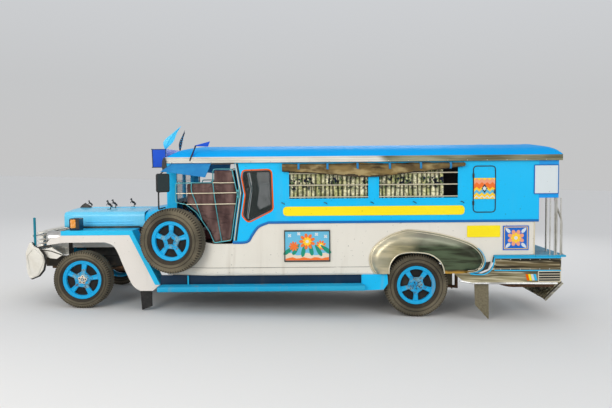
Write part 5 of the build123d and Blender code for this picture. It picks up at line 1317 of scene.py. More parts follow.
bumper.loft([[at(bumperU(y) + a, y, v) for a, v in bumperSection]
    for y in [-860 + 43 * k for k in range(41)]])
lobeBead = rounded([(-590, 296), (-512, 380), (-416, 292), (-404, 226), (-470, 80), (-552, 42)], 22, 3)
lobes = [(-606, 318), (-596, 352), (-558, 440), (-534, 446), (-512, 398), (-455, 372), (-408, 300),
    (-393, 225), (-415, 130), (-468, 66), (-560, 28), (-592, 90)]
for side in (-1, 1):
    bumper.plate(rounded(lobes, 24, 4), onSide, side * 866, side * 842, 30)
    bumper.tube(lineAt(side * 868, lobeBead), 5, 6, closed=True)
    bumper.block(-655, -560, side * 355, side * 425, 140, 220, 0)
    # a larger black plate behind each lobe plate, showing past its rear and lower edges: partly a dark
    # backing, partly painted shadow of the plate
    grown = [(-500 + (u + 500) * 1.07 + 7, 210 + (v - 210) * 1.04 - 8) for u, v in lobes]
    bumper.plate(rounded(grown, 24, 4), onSide, side * 848, side * 836, 40, mark=1)
piece("bumper_bar", bumper, "body", ["bumper", "flapBlack"], "bright_metal", ("front_bumper",),
    bevel=1.5, angle=40)
guard = Shape()
for step in range(4):
    top = 334 + 48 * (step + 1)
    guard.slab(rectangle(-636, -546, -500, 500, 20, 3), onPlan, top - 27, top, 0)
for y in (-330, 0, 330):
    guard.block(-610, -576, y - 14, y + 14, 334, 526, 0)
guard.tube([at(-542, y, 512) for y in (-830, -500, 0, 500, 830)], 9, 8, mark=0)
for side in (-1, 1):
    guard.tube([at(-522, side * 800, v) for v in (385, 500, 712, 716)], 14, 14, mark=1)
    guard.lathe([(0, 15), (6, 15), (12, 9), (14, 0.01)], at(-522, side * 800, 708), vDir, 14, 1)
    guard.block(-540, -505, side * 790, side * 842, 385, 402, 0)
piece("guard_bars", guard, "body", ["bumper", "teal"], "bright_metal", ("grille_guard",), bevel=2)
print("nose made")

# rear fairings, deck and step
fairingLoop = rounded([(4238, 74), (4250, 44), (4330, -20), (4430, -60), (5400, -67), (5442, -45),
    (5442, 236), (4694, 236), (4680, 150), (4640, 90), (4560, 56), (4500, 50)], 14, 3)


def fairingDepth(u, v):
    ledges = ((7, 95, 10), (5, -50, 8), (5, 226, 7))
    ledge = sum(proud * math.exp(-(((v - middle) / half) ** 2)) for proud, middle, half in ledges)
    return -(905 + (ledge if u > 4700 or v < 0 else 0))


fairings = Shape().plate(fairingLoop, onSide, fairingDepth, -885, 22)
fairings.plate(rectangle(-905, -440, -45, 236, 8, 2), onCross, 5442, 5422, 40)
fairings.slab([(5250, 236), (5442, 236), (5442, -45), (5400, -67), (5330, -40)], onSide, -460, -440)
fairings.plate(rounded([(4706, 220), (4706, 150), (4690, 100), (5430, 94), (5430, 220)], 8, 2), onSide, -913,
    -906, 40, mark=1)
fairings.sweep(lineAt(-914, [(4300, -28), (4440, -54), (5400, -61)]),
    [(-9, -6), (-9, 4), (0, 8), (9, 4), (9, -6)], up=outY, mark=2)
pairedPiece("fairing_boxes", fairings, ["fairing", "fairingDark", "chrome"], "bright_metal",
    ("rear_fairings",), bevel=2, angle=35)
blueLines = Shape()
rearLine = smoothPath([(4420, 52), (4560, 46), (4640, 84), (4676, 150), (4690, 232)], 5)
for line in ([(4700, 232), (5436, 230)], [(4690, 92), (5436, 84)], rearLine):
    blueLines.sweep(sidePath(line, 41), strip(6, -3, 4), up=outY)
pairedPiece("fairing_blue_lines", blueLines, "trimBlue", "body_blue", angle=50)
vent = Shape()
vent.plate(rectangle(5175, 5436, -42, 80, 8, 2), onSide, -910, -905, 60)
for k in range(3):
    vent.slab(rectangle(5186, 5426, -14 + k * 28, -6 + k * 28, 3, 2), onSide, -918, -907, 1)
vent.sweep(sidePath(rectangle(5184, 5434, -38, 76, 8, 2), 40), strip(6, -3, 5), closed=True, up=outY, mark=1)
vent.tube([at(u, -903, -62) for u in (5150, 5180, 5300, 5380, 5386)], 13, 12, mark=1)
pairedPiece("fairing_vents", vent, ["rubber", "barCream"], "bright_metal", bevel=1)
panelBeads = Shape()
for loop in (rectangle(4724, 5120, 112, 214, 10, 3), rectangle(5180, 5300, 116, 214, 10, 3)):
    panelBeads.tube(sidePath(loop, 38), 5, 8, closed=True)
pairedPiece("fairing_beads", panelBeads, "fairing", "bright_metal", angle=60)
stripes = Shape()
for k in range(4):
    u = 5040 + k * 30
    stripes.slab([(u, 45), (u + 26, 45), (u + 46, -27), (u + 20, -27)], onSide, -909, -904, k)
pairedPiece("fairing_stripes", stripes, ["orange", "yellow", "board", "trimBlue"], "body_blue")

deck = Shape()
deck.slab(rectangle(5150, 5500, -910, 910, 20, 3), onPlan, 236.5, 256)
deck.block(4690, 5150, -910, -872, 236.5, 260)
deck.block(4690, 5150, 872, 910, 236.5, 260)
piece("entrance_deck", deck, "body", "boardBlue", "deck_blue", ("rear_deck",), bevel=3)


def treadDiamonds(shape, to, a0, a1, b0, b1, pitch, top, mark):
    for i in range(int((a1 - a0) / pitch)):
        for k in range(int((b1 - b0) / pitch)):
            a, b = a0 + (i + 0.5) * pitch, b0 + (k + 0.5) * pitch
            long, wide = pitch * 0.38, pitch * 0.12
            turn = math.pi / 4 if (i + k) % 2 else -math.pi / 4
            corners = [(a + x, b + y)
                for x, y in turned([(-long, 0), (0, -wide), (long, 0), (0, wide)], turn)]
            verts = [to(x, y, top) for x, y in corners]
            verts += [to(a + (x - a) * 0.6, b + (y - b) * 0.6, top + 2.2) for x, y in corners]
            shape.add(verts, [[4, 5, 6, 7], [0, 1, 5, 4], [1, 2, 6, 5], [2, 3, 7, 6], [3, 0, 4, 7]], mark)


deckTread = Shape()
treadDiamonds(deckTread, onPlan, 5165, 5490, -840, 840, 34, 256, 0)
piece("deck_tread_marks", deckTread, "body", "tread", "tread_plate", angle=30)

step = Shape()
foot, tip = at(5363, 0, -301), at(5568, 0, -93)
slope = (tip - foot).normalized()
lift = Vector((-slope.z, 0, slope.x))


def onStep(a, y, d):
    return foot + slope * (a / 1000) + Vector((0, y / 1000, 0)) + lift * (d / 1000)


stepLength = (tip - foot).length * 1000
step.slab(rectangle(0, stepLength, -600, 600, 8, 2), onStep, 0, 4, 1)
for k in range(31):
    y = -592 + k * 1184 / 30
    step.slab(rectangle(2, stepLength - 2, y - 7, y + 7, 4, 2), onStep, 4, 12)
for y in (-598, 586):
    for d in (-44, -32, -20, -8):
        step.slab(rectangle(0, stepLength, y, y + 12), onStep, d, d + 6)
for y in (-592, -390, 390, 592):
    step.slab(rectangle(0, stepLength, y - 12, y + 12, 6, 2), onStep, -14, 0, 1)
for side in (-1, 1):
    step.tube(lineAt(side * 390, [(5262, 104), (5300, 0), (5372, -180), (5404, -262)]), 15, 10, mark=1)
    step.tube(lineAt(side * 390, [(5395, 104), (5450, -30), (5520, -140)]), 12, 10, mark=1)
piece("step_plate", step, "body", ["fairing", "frameBlack"], "tread_plate", ("rear_step",),
    bevel=1.5, angle=30)

railBend = smoothPath([(5484, 560), (5480, 640), (5462, 700), (5430, 780), (5410, 850), (5406, 903)], 4)
rails = Shape()
for y in (-860, -560, 560, 860):
    rails.tube([at(5400, y, v) for v in (260, 300, 700, 903)], 11, 12)
    rails.lathe([(0, 22), (4, 22), (6, 12)], at(5400, y, 256.5), vDir, 16)
for side in (-1, 1):
    bend = [(5484, 260), (5484, 420), (5484, 560)] + railBend
    rails.tube(lineAt(side * 800, bend), 11, 12)
    rails.lathe([(0, 22), (4, 22), (6, 12)], at(5484, side * 800, 256.5), vDir, 16)
piece("hand_rails", rails, "body", "stainless", "bright_metal", ("handrails",), angle=60)
print("rear made")

# window bars, curtains and tarps
bars = Shape()
for front, rear in windows:
    for v in (931, 1066, 1198):
        bars.tube([at(u, -858, v) for u in (front - 4, (front + rear) / 2, rear + 4)], 8, 10)
pairedPiece("window_rails", bars, "barCream", "bright_metal", ("window_bars",), angle=60)

curtainLooks = {
    "pitch": 50, "fold": 15, "top": 1318, "bottom": 888, "step": 5, "rows": 16, "wall": 827,
    "spans": [(2362, 3298), (3372, 4128)],
}


def curtainPanel(front, rear, side, seed):
    look = curtainLooks
    across = int((rear - front) / look["step"])
    verts = []
    for k in range(look["rows"] + 1):
        t = k / look["rows"]
        v = look["top"] + (look["bottom"] - look["top"]) * t
        for i in range(across + 1):
            u = front + (rear - front) * i / across
            phase = u / look["pitch"] * math.tau + 2.2 * noise.noise(Vector((u / 180, t * 1.2, seed)))
            # full pleats with tight backs
            wave = math.copysign(abs(math.sin(phase)) ** 0.7, math.sin(phase))
            depth = look["fold"] * (0.8 + 0.2 * t) * wave + 3 * noise.noise(Vector((u / 60, t * 3, seed + 4)))
            swing, lift = 6 * t * math.sin(phase * 0.5), 2.5 * math.cos(phase)
            verts.append(at(u + swing, side * (look["wall"] + depth), v + lift))
    return Shape().add(verts, gridFaces(look["rows"] + 1, across + 1))


def area(shape):
    total = 0
    for face in shape.faces:
        p = [shape.verts[i] for i in face]
        for i in range(1, len(p) - 1):
            total += (p[i] - p[0]).cross(p[i + 1] - p[0]).length / 2
    return total


for number, (front, rear) in enumerate(curtainLooks["spans"]):
    for side, tag in bothSides:
        panel = curtainPanel(front, rear, side, number * 7 + side)
        drop = (curtainLooks["top"] - curtainLooks["bottom"]) / 1000
        cloth = piece(f"curtain_{number + 1}_{tag}", panel, "body", "curtain", "curtain_cloth",
            ("curtains",), angle=180)
        area(panel) / drop

tarpLooks = {
    "turns": 1.6, "points": 60, "steps": 70, "wall": 870.8, "out": 62, "top": 1311,
    "front": 2310, "length": 2044,
    "straps": [2495, 2817, 3153, 3512, 3858, 4190],
}
tarpBottom = smoothPath([(2310, 1217), (2800, 1176), (3315, 1143), (3850, 1198), (4354, 1262)], 10)


def tarpRing(u, side, turns, grow=0.0, seed=0):
    look = tarpLooks
    bottom = heightAt(tarpBottom, u)
    centre, tall = (look["top"] + bottom) / 2, (look["top"] - bottom) / 2
    deep = look["out"] / 2
    ring = []
    for k in range(look["points"] + 1):
        t = k / look["points"]
        turn = t * turns * math.tau + math.pi * 0.5
        reach = 1 - 0.32 * t * (turns > 1)
        lumps, tuck = 1, 1
        if grow == 0:
            crease = abs(noise.noise(Vector((u / 260, turn * 2.2 + u / 420, seed + 3))))
            lumps = 1 + (0.1 * noise.noise(Vector((u / 150, turn, seed))) - 0.2 * crease)
            tuck = 0.97
        y = look["wall"] + deep + (deep * reach * lumps + grow) * math.cos(turn) * tuck
        v = centre + (tall * reach * lumps + grow) * math.sin(turn)
        ring.append(at(u, side * max(look["wall"], y), v))
    return ring


for side, tag in bothSides:
    steps, length = tarpLooks["steps"], tarpLooks["length"]
    rollUs = [tarpLooks["front"] + length * k / steps for k in range(steps + 1)]
    roll = Shape().loft([tarpRing(u, side, tarpLooks["turns"], seed=side) for u in rollUs], closed=False)
    # a band along the roll's underside is painted dark: painted shade
    low = [22.2 + 2.4 * noise.noise(Vector((k / 4, side, 3))) for k in range(steps)]
    roll.marks = [1 if 12 < i < low[k] else 0 for k in range(steps) for i in range(tarpLooks["points"])]
    canvas = piece("rolled_tarp_" + tag, roll, "body", ["canvas", "canvasShade"], "canvas",
        ("window_tarps",), angle=180)
    area(roll) / 2.06
straps = Shape()
for u in tarpLooks["straps"]:
    for side in (-1, 1):
        low = at(u, 0, 1240).z
        rows = [tarpRing(u + d, side, 1.0, 3.0) for d in (-12, 12)]
        straps.loft([[p for p in row if p.z > low and abs(p.y) > 0.9] for row in rows], closed=False)
piece("tarp_straps", straps, "body", "strap", "canvas", thick=1.2, angle=180)
print("curtains and tarps made")

# gates and their covers
gateLooks = {"plane": 884, "cover": 874, "frameR": 7, "barR": 6, "hingeU": 1822}
gateFrame = [(1115, 1103), (1110, 884), (1223, 862), (1340, 770), (1484, 552), (1536, 425), (1729, 454),
    (1761, 680), (1806, 962), (1747, 1255), (1534, 1256), (1531, 1103)]
gateBars = [
    [(1290, 1103), (1290, 1010), (1330, 900), (1400, 690)],
    [(1531, 1103), (1545, 960), (1580, 700), (1620, 438)],
    [(1531, 1103), (1650, 1101), (1778, 1103)], [(1112, 985), (1450, 986), (1795, 990)],
    [(1230, 862), (1500, 862), (1785, 864)],
]
coverLoop = rounded([(1240, 1090), (1240, 880), (1345, 790), (1496, 570), (1548, 440), (1720, 466),
    (1750, 680), (1790, 962), (1740, 1240), (1548, 1240), (1545, 1115)], 12, 2)


def coverDepth(u, v):
    fold = abs(noise.noise(Vector((u / 170 + v / 300, v / 75, 2)))) * 30
    fold += abs(noise.noise(Vector((u / 90 - v / 60, v / 150, 8)))) * 14
    slack = min(1, edgeDistance((u, v), coverLoop) / 50)
    return gateLooks["cover"] - fold * slack - 5 * slack * noise.noise(Vector((u / 36, v / 48, 5)))


for side, tag in bothSides:
    rods = Shape()
    plane = side * gateLooks["plane"]
    rods.tube(lineAt(plane, rounded(gateFrame, 30, 3)), gateLooks["frameR"], 8, closed=True)
    for number, bar in enumerate(gateBars):
        rods.tube(lineAt(plane, smoothPath(bar, 4)), gateLooks["barR"], 8, mark=1 if number > 1 else 0)
    for v in (945, 1012):
        rods.lathe([(-13, 6.2), (-13, 11), (13, 11), (13, 6.2), (-13, 6.2)],
            at(gateLooks["hingeU"], plane, v), vDir, 16)
        rods.block(1798, 1812, side * 877, side * 891, v - 10, v + 10)
    piece("gate_rods_" + tag, rods, "gate_" + tag, ["rodSteel", "barCream"], "gate_paint",
        ("gate_" + tag,), angle=60)
    flat, faces = gridFill(coverLoop, [], 16)
    sheetShape = Shape().add([at(u, side * coverDepth(u, v), v) for u, v in flat], faces)
    cover = piece("gate_cloth_" + tag, sheetShape, "gate_" + tag, "cover", "cover_cloth",
        ("gate_cover_" + tag,), angle=180, thick=1)
    "gate_rods_" + tag
    area(sheetShape)
print("gates made")

# awnings, signboard, fins and mirrors
awningLooks = {"slope": 40, "width": 205, "y": 896, "v": 1323}
awningSlope = math.radians(awningLooks["slope"])
slopeUp = vDir * math.cos(awningSlope)
for side, tag in bothSides:
    root = at(0, side * awningLooks["y"], awningLooks["v"])
    outline = [(1076, 0), (1518, 0), (1471, -205), (1019, -124), (964, -118)]

    def awningPoint(u, w, d):
        droop = 6 * math.sin(u / 70) * (w / -awningLooks["width"]) ** 2
        down = Vector((0, side * math.sin(awningSlope), 0)) * (-w / 1000) + slopeUp * (w / 1000)
        return root + uDir * (u / 1000) + down + Vector((0, side * (d + droop) / 1000, 0))

    flat, faces = gridFill(outline, [], 22)
    panel = Shape().add([awningPoint(u, w, 0) for u, w in flat], faces)
    awning = piece("side_awning_" + tag, panel, "body", "awning", "body_blue", ("side_awnings",),
        angle=180, thick=1.5)
    min(area(panel), 0.1135)
sign = Shape()
sign.plate([(820, 1490), (826, 1278), (984.7, 1278), (984.7, 1490)], onSide, -750, 750, 60)
piece("sign_box", sign, "body", "signBlue", "sign_blue", ("signboard",), bevel=3)
signEdges = Shape()
for side in (-1, 1):
    signEdges.sweep(lineAt(side * 751, [(824, 1486), (830, 1282), (981, 1282), (981, 1486)]),
                    strip(5, -3, 4), closed=True, up=Vector((0, side, 0)))
for u, v in ((822, 1282), (819, 1488)):
    signEdges.tube([at(u, y, v) for y in (-750, 0, 750)], 6, 8)
piece("sign_edges", signEdges, "body", "sillBlue", "body_white", angle=50)

fins = Shape()
finLeft = smoothPath([(958, 1490), (942, 1559), (975, 1610), (1040, 1660), (1155, 1755)], 5)
finRight = smoothPath([(975, 1490), (1052, 1566), (1082, 1622), (1102, 1672), (1155, 1755)], 5)
for y, turn in ((-700, 0.0), (0, 80.0)):
    spin = Matrix.Rotation(math.radians(turn), 3, vDir)
    spine = at(1000, y, 1500)

    def finAt(u, out, v):
        return spine + spin @ (at(u, y + out, v) - spine)

    rings = []
    for a, b in zip(finLeft, finRight):
        a, b = Vector(a), Vector(b)
        wide = (b - a).length
        front, back = [], []
        for k in range(7):
            t = k / 6
            p = a.lerp(b, t)
            bulge = 5 * math.sin(t * math.pi) * min(1, wide / 60)
            front.append(finAt(p.x, -2 - bulge, p.y))
            back.append(finAt(p.x, 2 - bulge, p.y))
        rings.append(front + back[::-1])
    fins.loft(rings, mark=1 if turn else 0)
    middle = [finAt((a[0] + b[0]) / 2, -9, (a[1] + b[1]) / 2) for a, b in zip(finLeft, finRight)]
    fins.tube(middle[:-2], 4, 6, mark=1 if turn else 0)
    for k in range(3, len(finLeft) - 4, 3):
        a, b = finLeft[k], finRight[k]
        for t in (0.25, 0.75):
            rivet = finAt(a[0] + (b[0] - a[0]) * t, -5, a[1] + (b[1] - a[1]) * t)
            fins.lathe([(0, 7), (-4, 5), (-5, 0.01)], rivet, spin @ Vector((0, 1, 0)), 10)
piece("roof_fin_blades", fins, "body", ["finBlue", "sillBlue"], "body_blue", ("roof_fins",), angle=45)
pennants = Shape()
for side in (-1, 1):
    pennants.slab([(1322, 1410), (1350, 1514), (1486, 1506), (1510, 1565), (1340, 1520), (1300, 1400)],
        onSide, side * 902, side * 907, 0)
    pennants.slab([(1349, 1512), (1488, 1507), (1510, 1565)], onSide, side * 901, side * 908, 0)
    pennants.tube([at(1280, side * 905, 1350), at(1300, side * 905, 1400), at(1352, side * 905, 1520)], 8, 8,
        mark=1)
piece("pennant_blades", pennants, "body", ["signBlue", "black"], "body_blue", angle=40)

mirrorLooks = {"turn": 45, "reach": 1100, "wide": 165, "rim": 26, "u": 1004, "v": 1109}
mirrorTurn = math.radians(mirrorLooks["turn"])
mirrorY = mirrorLooks["reach"] - (mirrorLooks["wide"] + mirrorLooks["rim"]) / 2 * math.sin(mirrorTurn)
for side, tag in bothSides:
    wideDir = uDir * math.cos(mirrorTurn) + Vector((0, side * math.sin(mirrorTurn), 0)) * -1
    faceDir = wideDir.cross(vDir).normalized()
    centre = at(mirrorLooks["u"], side * mirrorY, mirrorLooks["v"])

    def onMirror(a, b, d):
        return centre + wideDir * (a / 1000) + vDir * (b / 1000) + faceDir * (d / 1000)

    back = 1 if faceDir.x < 0 else -1
    heads = Shape()
    loops = [(0.86, 13), (1.0, 8), (1.0, -8), (0.94, -12)]
    base = rectangle(-82, 82, -103, 103, 26, 5)
    heads.loft([[onMirror(a * s, b * s, d * back) for a, b in base] for s, d in loops])
    glassFace = rectangle(-72, 72, -92, 92, 20, 5)
    heads.slab(glassFace, onMirror, -12 * back, -14 * back, 1)
    heads.tube([at(954, side * 1032, v) for v in (820, 850, 1000)]
        + [onMirror(0, -60, 8 * back), onMirror(0, 0, 10 * back)], 9, 8)
    heads.tube([at(954, side * y, 820) for y in (742, 900, 1028)], 9, 8)
    heads.tube([at(970, side * 1030, 1200), at(975, side * 985, 1215), at(985, side * 930, 1228)], 6, 8)
    pointed = [(-14, -85), (14, -85), (26, -40), (22, 30), (0, 92), (-22, 30), (-26, -40)]
    heads.slab(rounded(pointed, 12, 3), lambda a, b, d: at(1000 + a, side * (925 + d), 1316 + b), -12, 12)
    piece("mirror_" + tag, heads, "body", ["black", "mirrorGlass"], "black_plastic", ("mirrors",),
        bevel=1.5, angle=45)
print("sign, fins and mirrors made")

# seats
benchLooks = {"panels": 8, "crown": 12, "corner": 0.32, "cap": 7, "around": 20}
seatLooks = {"around": 52, "rows": 60, "half": 694, "seams": (-231, 0, 231), "end": 16, "cap": 14}
padLooks = {"pressure": 4, "frames": 20, "mass": 0.2, "stiff": 12, "bend": 0.4}


def swell(pad, held, cap):
    # blows a pad up as cloth round air, held along its stitching and where it rests, and keeps the shape
    before = [vert.co.copy() for vert in pad.data.vertices]
    trial = show(bpy.data.objects.new(pad.name + "_trial", pad.data.copy()))
    group = trial.vertex_groups.new(name="held")
    group.add(held, 1.0, "REPLACE")
    cloth = trial.modifiers.new("swell", "CLOTH")
    rules = cloth.settings
    rules.mass, rules.bending_stiffness = padLooks["mass"], padLooks["bend"]
    rules.tension_stiffness = rules.compression_stiffness = rules.shear_stiffness = padLooks["stiff"]
    rules.use_pressure, rules.uniform_pressure_force = True, padLooks["pressure"]
    rules.vertex_group_mass = group.name
    rules.effector_weights.gravity = 0
    cloth.point_cache.frame_start, cloth.point_cache.frame_end = 1, padLooks["frames"]
    for number in range(1, padLooks["frames"] + 1):
        bpy.context.scene.frame_set(number)
    blown = trial.evaluated_get(bpy.context.evaluated_depsgraph_get())
    most = 0
    for vert, was, now in zip(pad.data.vertices, before, blown.data.vertices):
        move = now.co - was
        most = max(most, move.length)
        vert.co = was + move * min(1, cap / 1000 / max(move.length, 0.000001))
    print("swelled", pad.name, "by up to", round(most * 1000, 1), "mm, kept to", cap)
    bpy.data.objects.remove(trial)
    bpy.context.scene.frame_set(1)


def evenly(loop, count):
    # the same closed outline with its points at even steps
    sides = [(Vector(loop[i - 1]), Vector(loop[i])) for i in range(len(loop))]
    pitch = sum((b - a).length for a, b in sides) / count
    spots, reach = [], 0
    for a, b in sides:
        span = (b - a).length
        while len(spots) < count and len(spots) * pitch < reach + span:
            spots.append(a.lerp(b, (len(spots) * pitch - reach) / span))
        reach += span
    return spots


def cushionTop(u0, u1, y0, y1, v0, v1, side, shape):
    rings = []
    length, panels = u1 - u0, benchLooks["panels"]
    steps = panels * 10
    for k in range(steps + 1):
        t = k / steps
        seam = abs(math.sin(t * panels * math.pi)) ** 0.45
        end = min(1, 14 * min(t, 1 - t) + 0.25)
        crown = benchLooks["crown"] * seam * end
        u = u0 + length * t
        ring = []
        for a in range(benchLooks["around"]):
            turn = a / benchLooks["around"] * math.tau
            wide, tall = (y1 - y0) / 2, (v1 - v0) / 2
            out = math.copysign(abs(math.cos(turn)) ** benchLooks["corner"], math.cos(turn))
            rise = math.copysign(abs(math.sin(turn)) ** benchLooks["corner"], math.sin(turn))
            y = (y0 + y1) / 2 + wide * out * (0.985 + 0.015 * seam) * (0.97 + 0.03 * end)
            v = (v0 + v1) / 2 + tall * rise * (0.9 * end + 0.1)
            v += crown * max(0, math.sin(turn)) * abs(math.sin(turn)) - crown * 0.5 * max(0, math.sin(turn))
            ring.append(at(u, side * y, v))
        rings.append(ring)
    shape.loft(rings)


for side, tag in bothSides:
    bench = Shape()
    cushionTop(2004, 4996, 472, 842, 515.5, 580, side, bench)
    cushion = piece("bench_cushion_" + tag, bench, "body", "vinyl", "seat_vinyl", ("bench_cushions",),
        levels=1, angle=180)
    around = benchLooks["around"]
    held = [i for i in range(len(bench.verts)) if (i // around) % 10 == 0 or i % around > around * 0.55]
    swell(cushion, held, benchLooks["cap"])

cabSeats = (
    ("cab_seat_base", rectangle(1306, 1658, 430, 550), ("front_seat",), lambda u, v: v < 436),
    ("cab_seat_back", [(1678, 566), (1754, 566), (1794, 990), (1718, 990)], (),
        lambda u, v: u > 1750 + (v - 566) * 0.094),
)
for name, corners, replaced, rests in cabSeats:
    outline = evenly(rounded(corners, 22, 4), seatLooks["around"])
    middle = sum(outline, Vector((0, 0))) / len(outline)
    pad, held = Shape(), []
    rings = []
    for k in range(seatLooks["rows"] + 1):
        y = seatLooks["half"] * (2 * k / seatLooks["rows"] - 1)
        inset = seatLooks["end"] * max(0, 1 - (seatLooks["half"] - abs(y)) / 40) ** 2
        stitched = min(abs(y - seam) for seam in seatLooks["seams"]) < 8 or abs(y) > seatLooks["half"] - 30
        rings.append([at(p.x, y, p.y) for p in (q + (middle - q).normalized() * inset for q in outline)])
        held += [k * len(outline) + i for i, q in enumerate(outline) if stitched or rests(q.x, q.y)]
    pad.loft(rings)
    seat = piece(name, pad, "body", "vinyl", "seat_vinyl", replaced, levels=1, angle=60)
    swell(seat, held, seatLooks["cap"])
seatBox = Shape().block(1310, 1752, -690, 690, 250.5, 430).block(1700, 1756, -690, 690, 430, 700)
piece("cab_seat_box", seatBox, "body", "lining", "deck_blue", bevel=4)

# steering wheel
steer = Shape()
steerLooks = {"slope": 31, "y": -350, "footV": 420, "length": 562, "wheelR": 177}
slopeAngle = math.radians(steerLooks["slope"])
footU = 656 + 6 + 25 + 22 * math.sin(slopeAngle) + 0.3
start = at(footU, steerLooks["y"], steerLooks["footV"])
end = at(footU + steerLooks["length"] * math.cos(slopeAngle), steerLooks["y"],
         steerLooks["footV"] + steerLooks["length"] * math.sin(slopeAngle))
axis = (end - start).normalized()
steer.tube([start, start.lerp(end, 0.5), end], 20, 16)
wheelTo = wheelFrame(end, axis)
steer.tube([wheelTo(a, b, 0) for a, b in circle(0, 0, steerLooks["wheelR"], 48)], 13, 10, closed=True)
for k in range(3):
    turn = k * math.tau / 3 + math.pi / 2
    steer.tube([wheelTo(r * math.cos(turn), r * math.sin(turn), -6) for r in (20, 100, 176)], 8, 8)
steer.lathe([(-14, 30), (6, 42), (12, 36), (14, 0.01)], end, axis, 24)
piece("steering_wheel", steer, "body", "black", "black_plastic", ("steering_column",), angle=50)

# mud flaps
def flapDepth(v, flat):
    return flat + 3 * math.sin((v + 479) / 90)


flaps = Shape()
flaps.plate(rounded([(673, -60), (812, -60), (812, -299), (692, -346)], 8, 2), onSide, -839.5,
    -833.7, 40, mark=0)
flaps.plate(rounded([(4471, -32), (4634, -33), (4638, -479), (4481, -304)], 8, 2), onSide,
            lambda u, v: -flapDepth(v, 884.6), lambda u, v: -flapDepth(v, 878.8), 40, mark=1)
pairedPiece("mud_flaps", flaps, ["flapBlack", "flapPale"], "flap_rubber", ("mudflaps",), bevel=1)


# small horses on the hood
def horse(u, y, tall, facing):
    s = tall / 140
    base = hoodCrown(y)
    shape = Shape()

    def limb(path, radius, sides, scale):
        spots = [at(u + a * s * facing, y + w * s, base + b * s) for a, w, b in path]
        shape.tube(spots, radius * s, sides, scale=scale)

    limb([(-26, 0, 58), (-16, 0, 66), (4, 0, 74), (16, 0, 86)], 17, 10, [0.5, 1.05, 1, 0.8])
    limb([(12, 0, 84), (20, 0, 104), (22, 0, 120)], 11.5, 8, [1.1, 0.85, 0.7])
    limb([(18, 0, 126), (30, 0, 120), (42, 0, 110)], 8, 8, [0.9, 1, 0.55])
    for w in (-6, 6):
        limb([(-20, w, 62), (-26, w, 36), (-16, w, 18), (-20, w, 2)], 7.5, 6, [1.4, 0.9, 0.6, 0.8])
        limb([(14, w, 82), (34, w, 74), (36 + w, w, 56)], 5, 6, [1.4, 0.8, 0.7])
        limb([(17, w * 0.5, 128), (16, w * 0.6, 136)], 2.6, 5, [1, 0.3])
    limb([(-26, 0, 62), (-40, 0, 56), (-42, 0, 34), (-36, 0, 20)], 7, 6, [0.8, 1.1, 1, 0.3])
    limb([(12, 0, 100), (14, 0, 118), (18, 0, 130)], 4, 6, [0.8, 1.1, 0.6])
    shape.slab(rectangle(-30, 30, -12, 12, 8, 3), lambda a, w, d: at(u + a * s, y + w * s, base + d), 0, 4)
    return shape


herd = [(160, -250, 118), (163, -60, 112), (330, 180, 116), (-248, 250, 92)]
for number, (u, y, tall) in enumerate(herd):
    piece(f"hood_horse_{number + 1}", horse(u, y, tall, -1), "hood", "horse", "bright_metal",
        ("hood_ornaments",), angle=60)
mascot = Shape()
mascot.loft([[at(u, y * w, 783 + h * k) for y, k in ((-22, 0), (-14, 0.5), (0, 1), (14, 0.5), (22, 0))]
    for u, w, h in ((-290, 0.3, 4), (-262, 0.9, 34), (-222, 0.7, 60), (-206, 0.5, 50), (-170, 0.8, 30),
        (-142, 0.4, 6))])
piece("hood_mascot", mascot, "hood", "black", "bright_metal", angle=50)
print("small parts made")

# painted panels on the sides: plain ornament
def blossom(cu, cv, radius, petals, waist=0.45, turn=0.0, steps=8):
    count = petals * steps
    spots = [(k * math.tau / count, k / steps * math.pi) for k in range(count)]
    reach = [radius * (waist + (1 - waist) * abs(math.sin(s)) ** 0.6) for t, s in spots]
    return [(cu + r * math.cos(t + turn), cv + r * math.sin(t + turn)) for r, (t, s) in zip(reach, spots)]


def leaf(cu, cv, long, wide, turn):
    made = []
    for k in range(16):
        t = k / 16 * math.tau
        made.append((long / 2 * math.cos(t), wide / 2 * math.sin(t) * (1 - 0.35 * math.cos(t))))
    return [(cu + a, cv + b) for a, b in turned(made, turn)]


def panelArt(name, box, framed, layers, coats):
    u0, u1, v0, v1 = box
    art = Shape().plate(rectangle(u0, u1, v0, v1, 3, 2), onSide, -880, -868, 90)
    for level, (outline, mark) in enumerate(layers):
        art.slab(outline, onSide, -(880.4 + 0.25 * (level % 12)), -879, mark)
    if framed:
        edge = lineAt(-880, rectangle(u0, u1, v0, v1))
        art.sweep(edge, [(-framed, -6), (-framed, 5), (0, 8), (framed, 5), (framed, -6)], closed=True,
            up=outY, mark=len(coats) - 1)
    pairedPiece(name, art, coats, "body_white", angle=30)


meadow = []
for rise, height, pace, start, mark in ((288, 16, 1.3, 0, 1), (246, 9, 1.9, 1, 3)):
    ridge = [(2830 - 41 * k, rise + height * math.sin(k * pace + start)) for k in range(13)]
    meadow.append(([(2338, 218), (2830, 218)] + ridge, mark))
for k in range(6):
    lean = math.pi / 2 + (k - 2.5) * 0.36
    meadow.append((leaf(2400 + k * 74 - 30 * math.cos(lean), 330 + 14 * (k % 2), 150, 44, lean), 2))
for cu, cv, size in ((2584, 432, 92), (2432, 378, 56), (2738, 386, 60)):
    meadow += [(blossom(cu, cv, size, 9), 3), (blossom(cu, cv, size * 0.55, 9, 0.6, 0.35), 4),
        (circle(cu, cv, size * 0.2, 16), 5)]
for cu, cv in ((2386, 500), (2490, 520), (2690, 512), (2792, 488)):
    meadow.append((blossom(cu, cv, 22, 4, 0.3), 5))
panelArt("side_picture", (2330, 2838, 209, 553), 9, meadow,
    ["artSky", "artSand", "artTeal", "artOrange", "artYellow", "board", "artFrame"])


def zigzag(low, high, teeth=4, rise=26):
    steps = [(4462 + 236 * k / (teeth * 2), rise * (k % 2)) for k in range(teeth * 2 + 1)]
    return [(u, low + v) for u, v in steps] + [(u, high + v) for u, v in reversed(steps)]


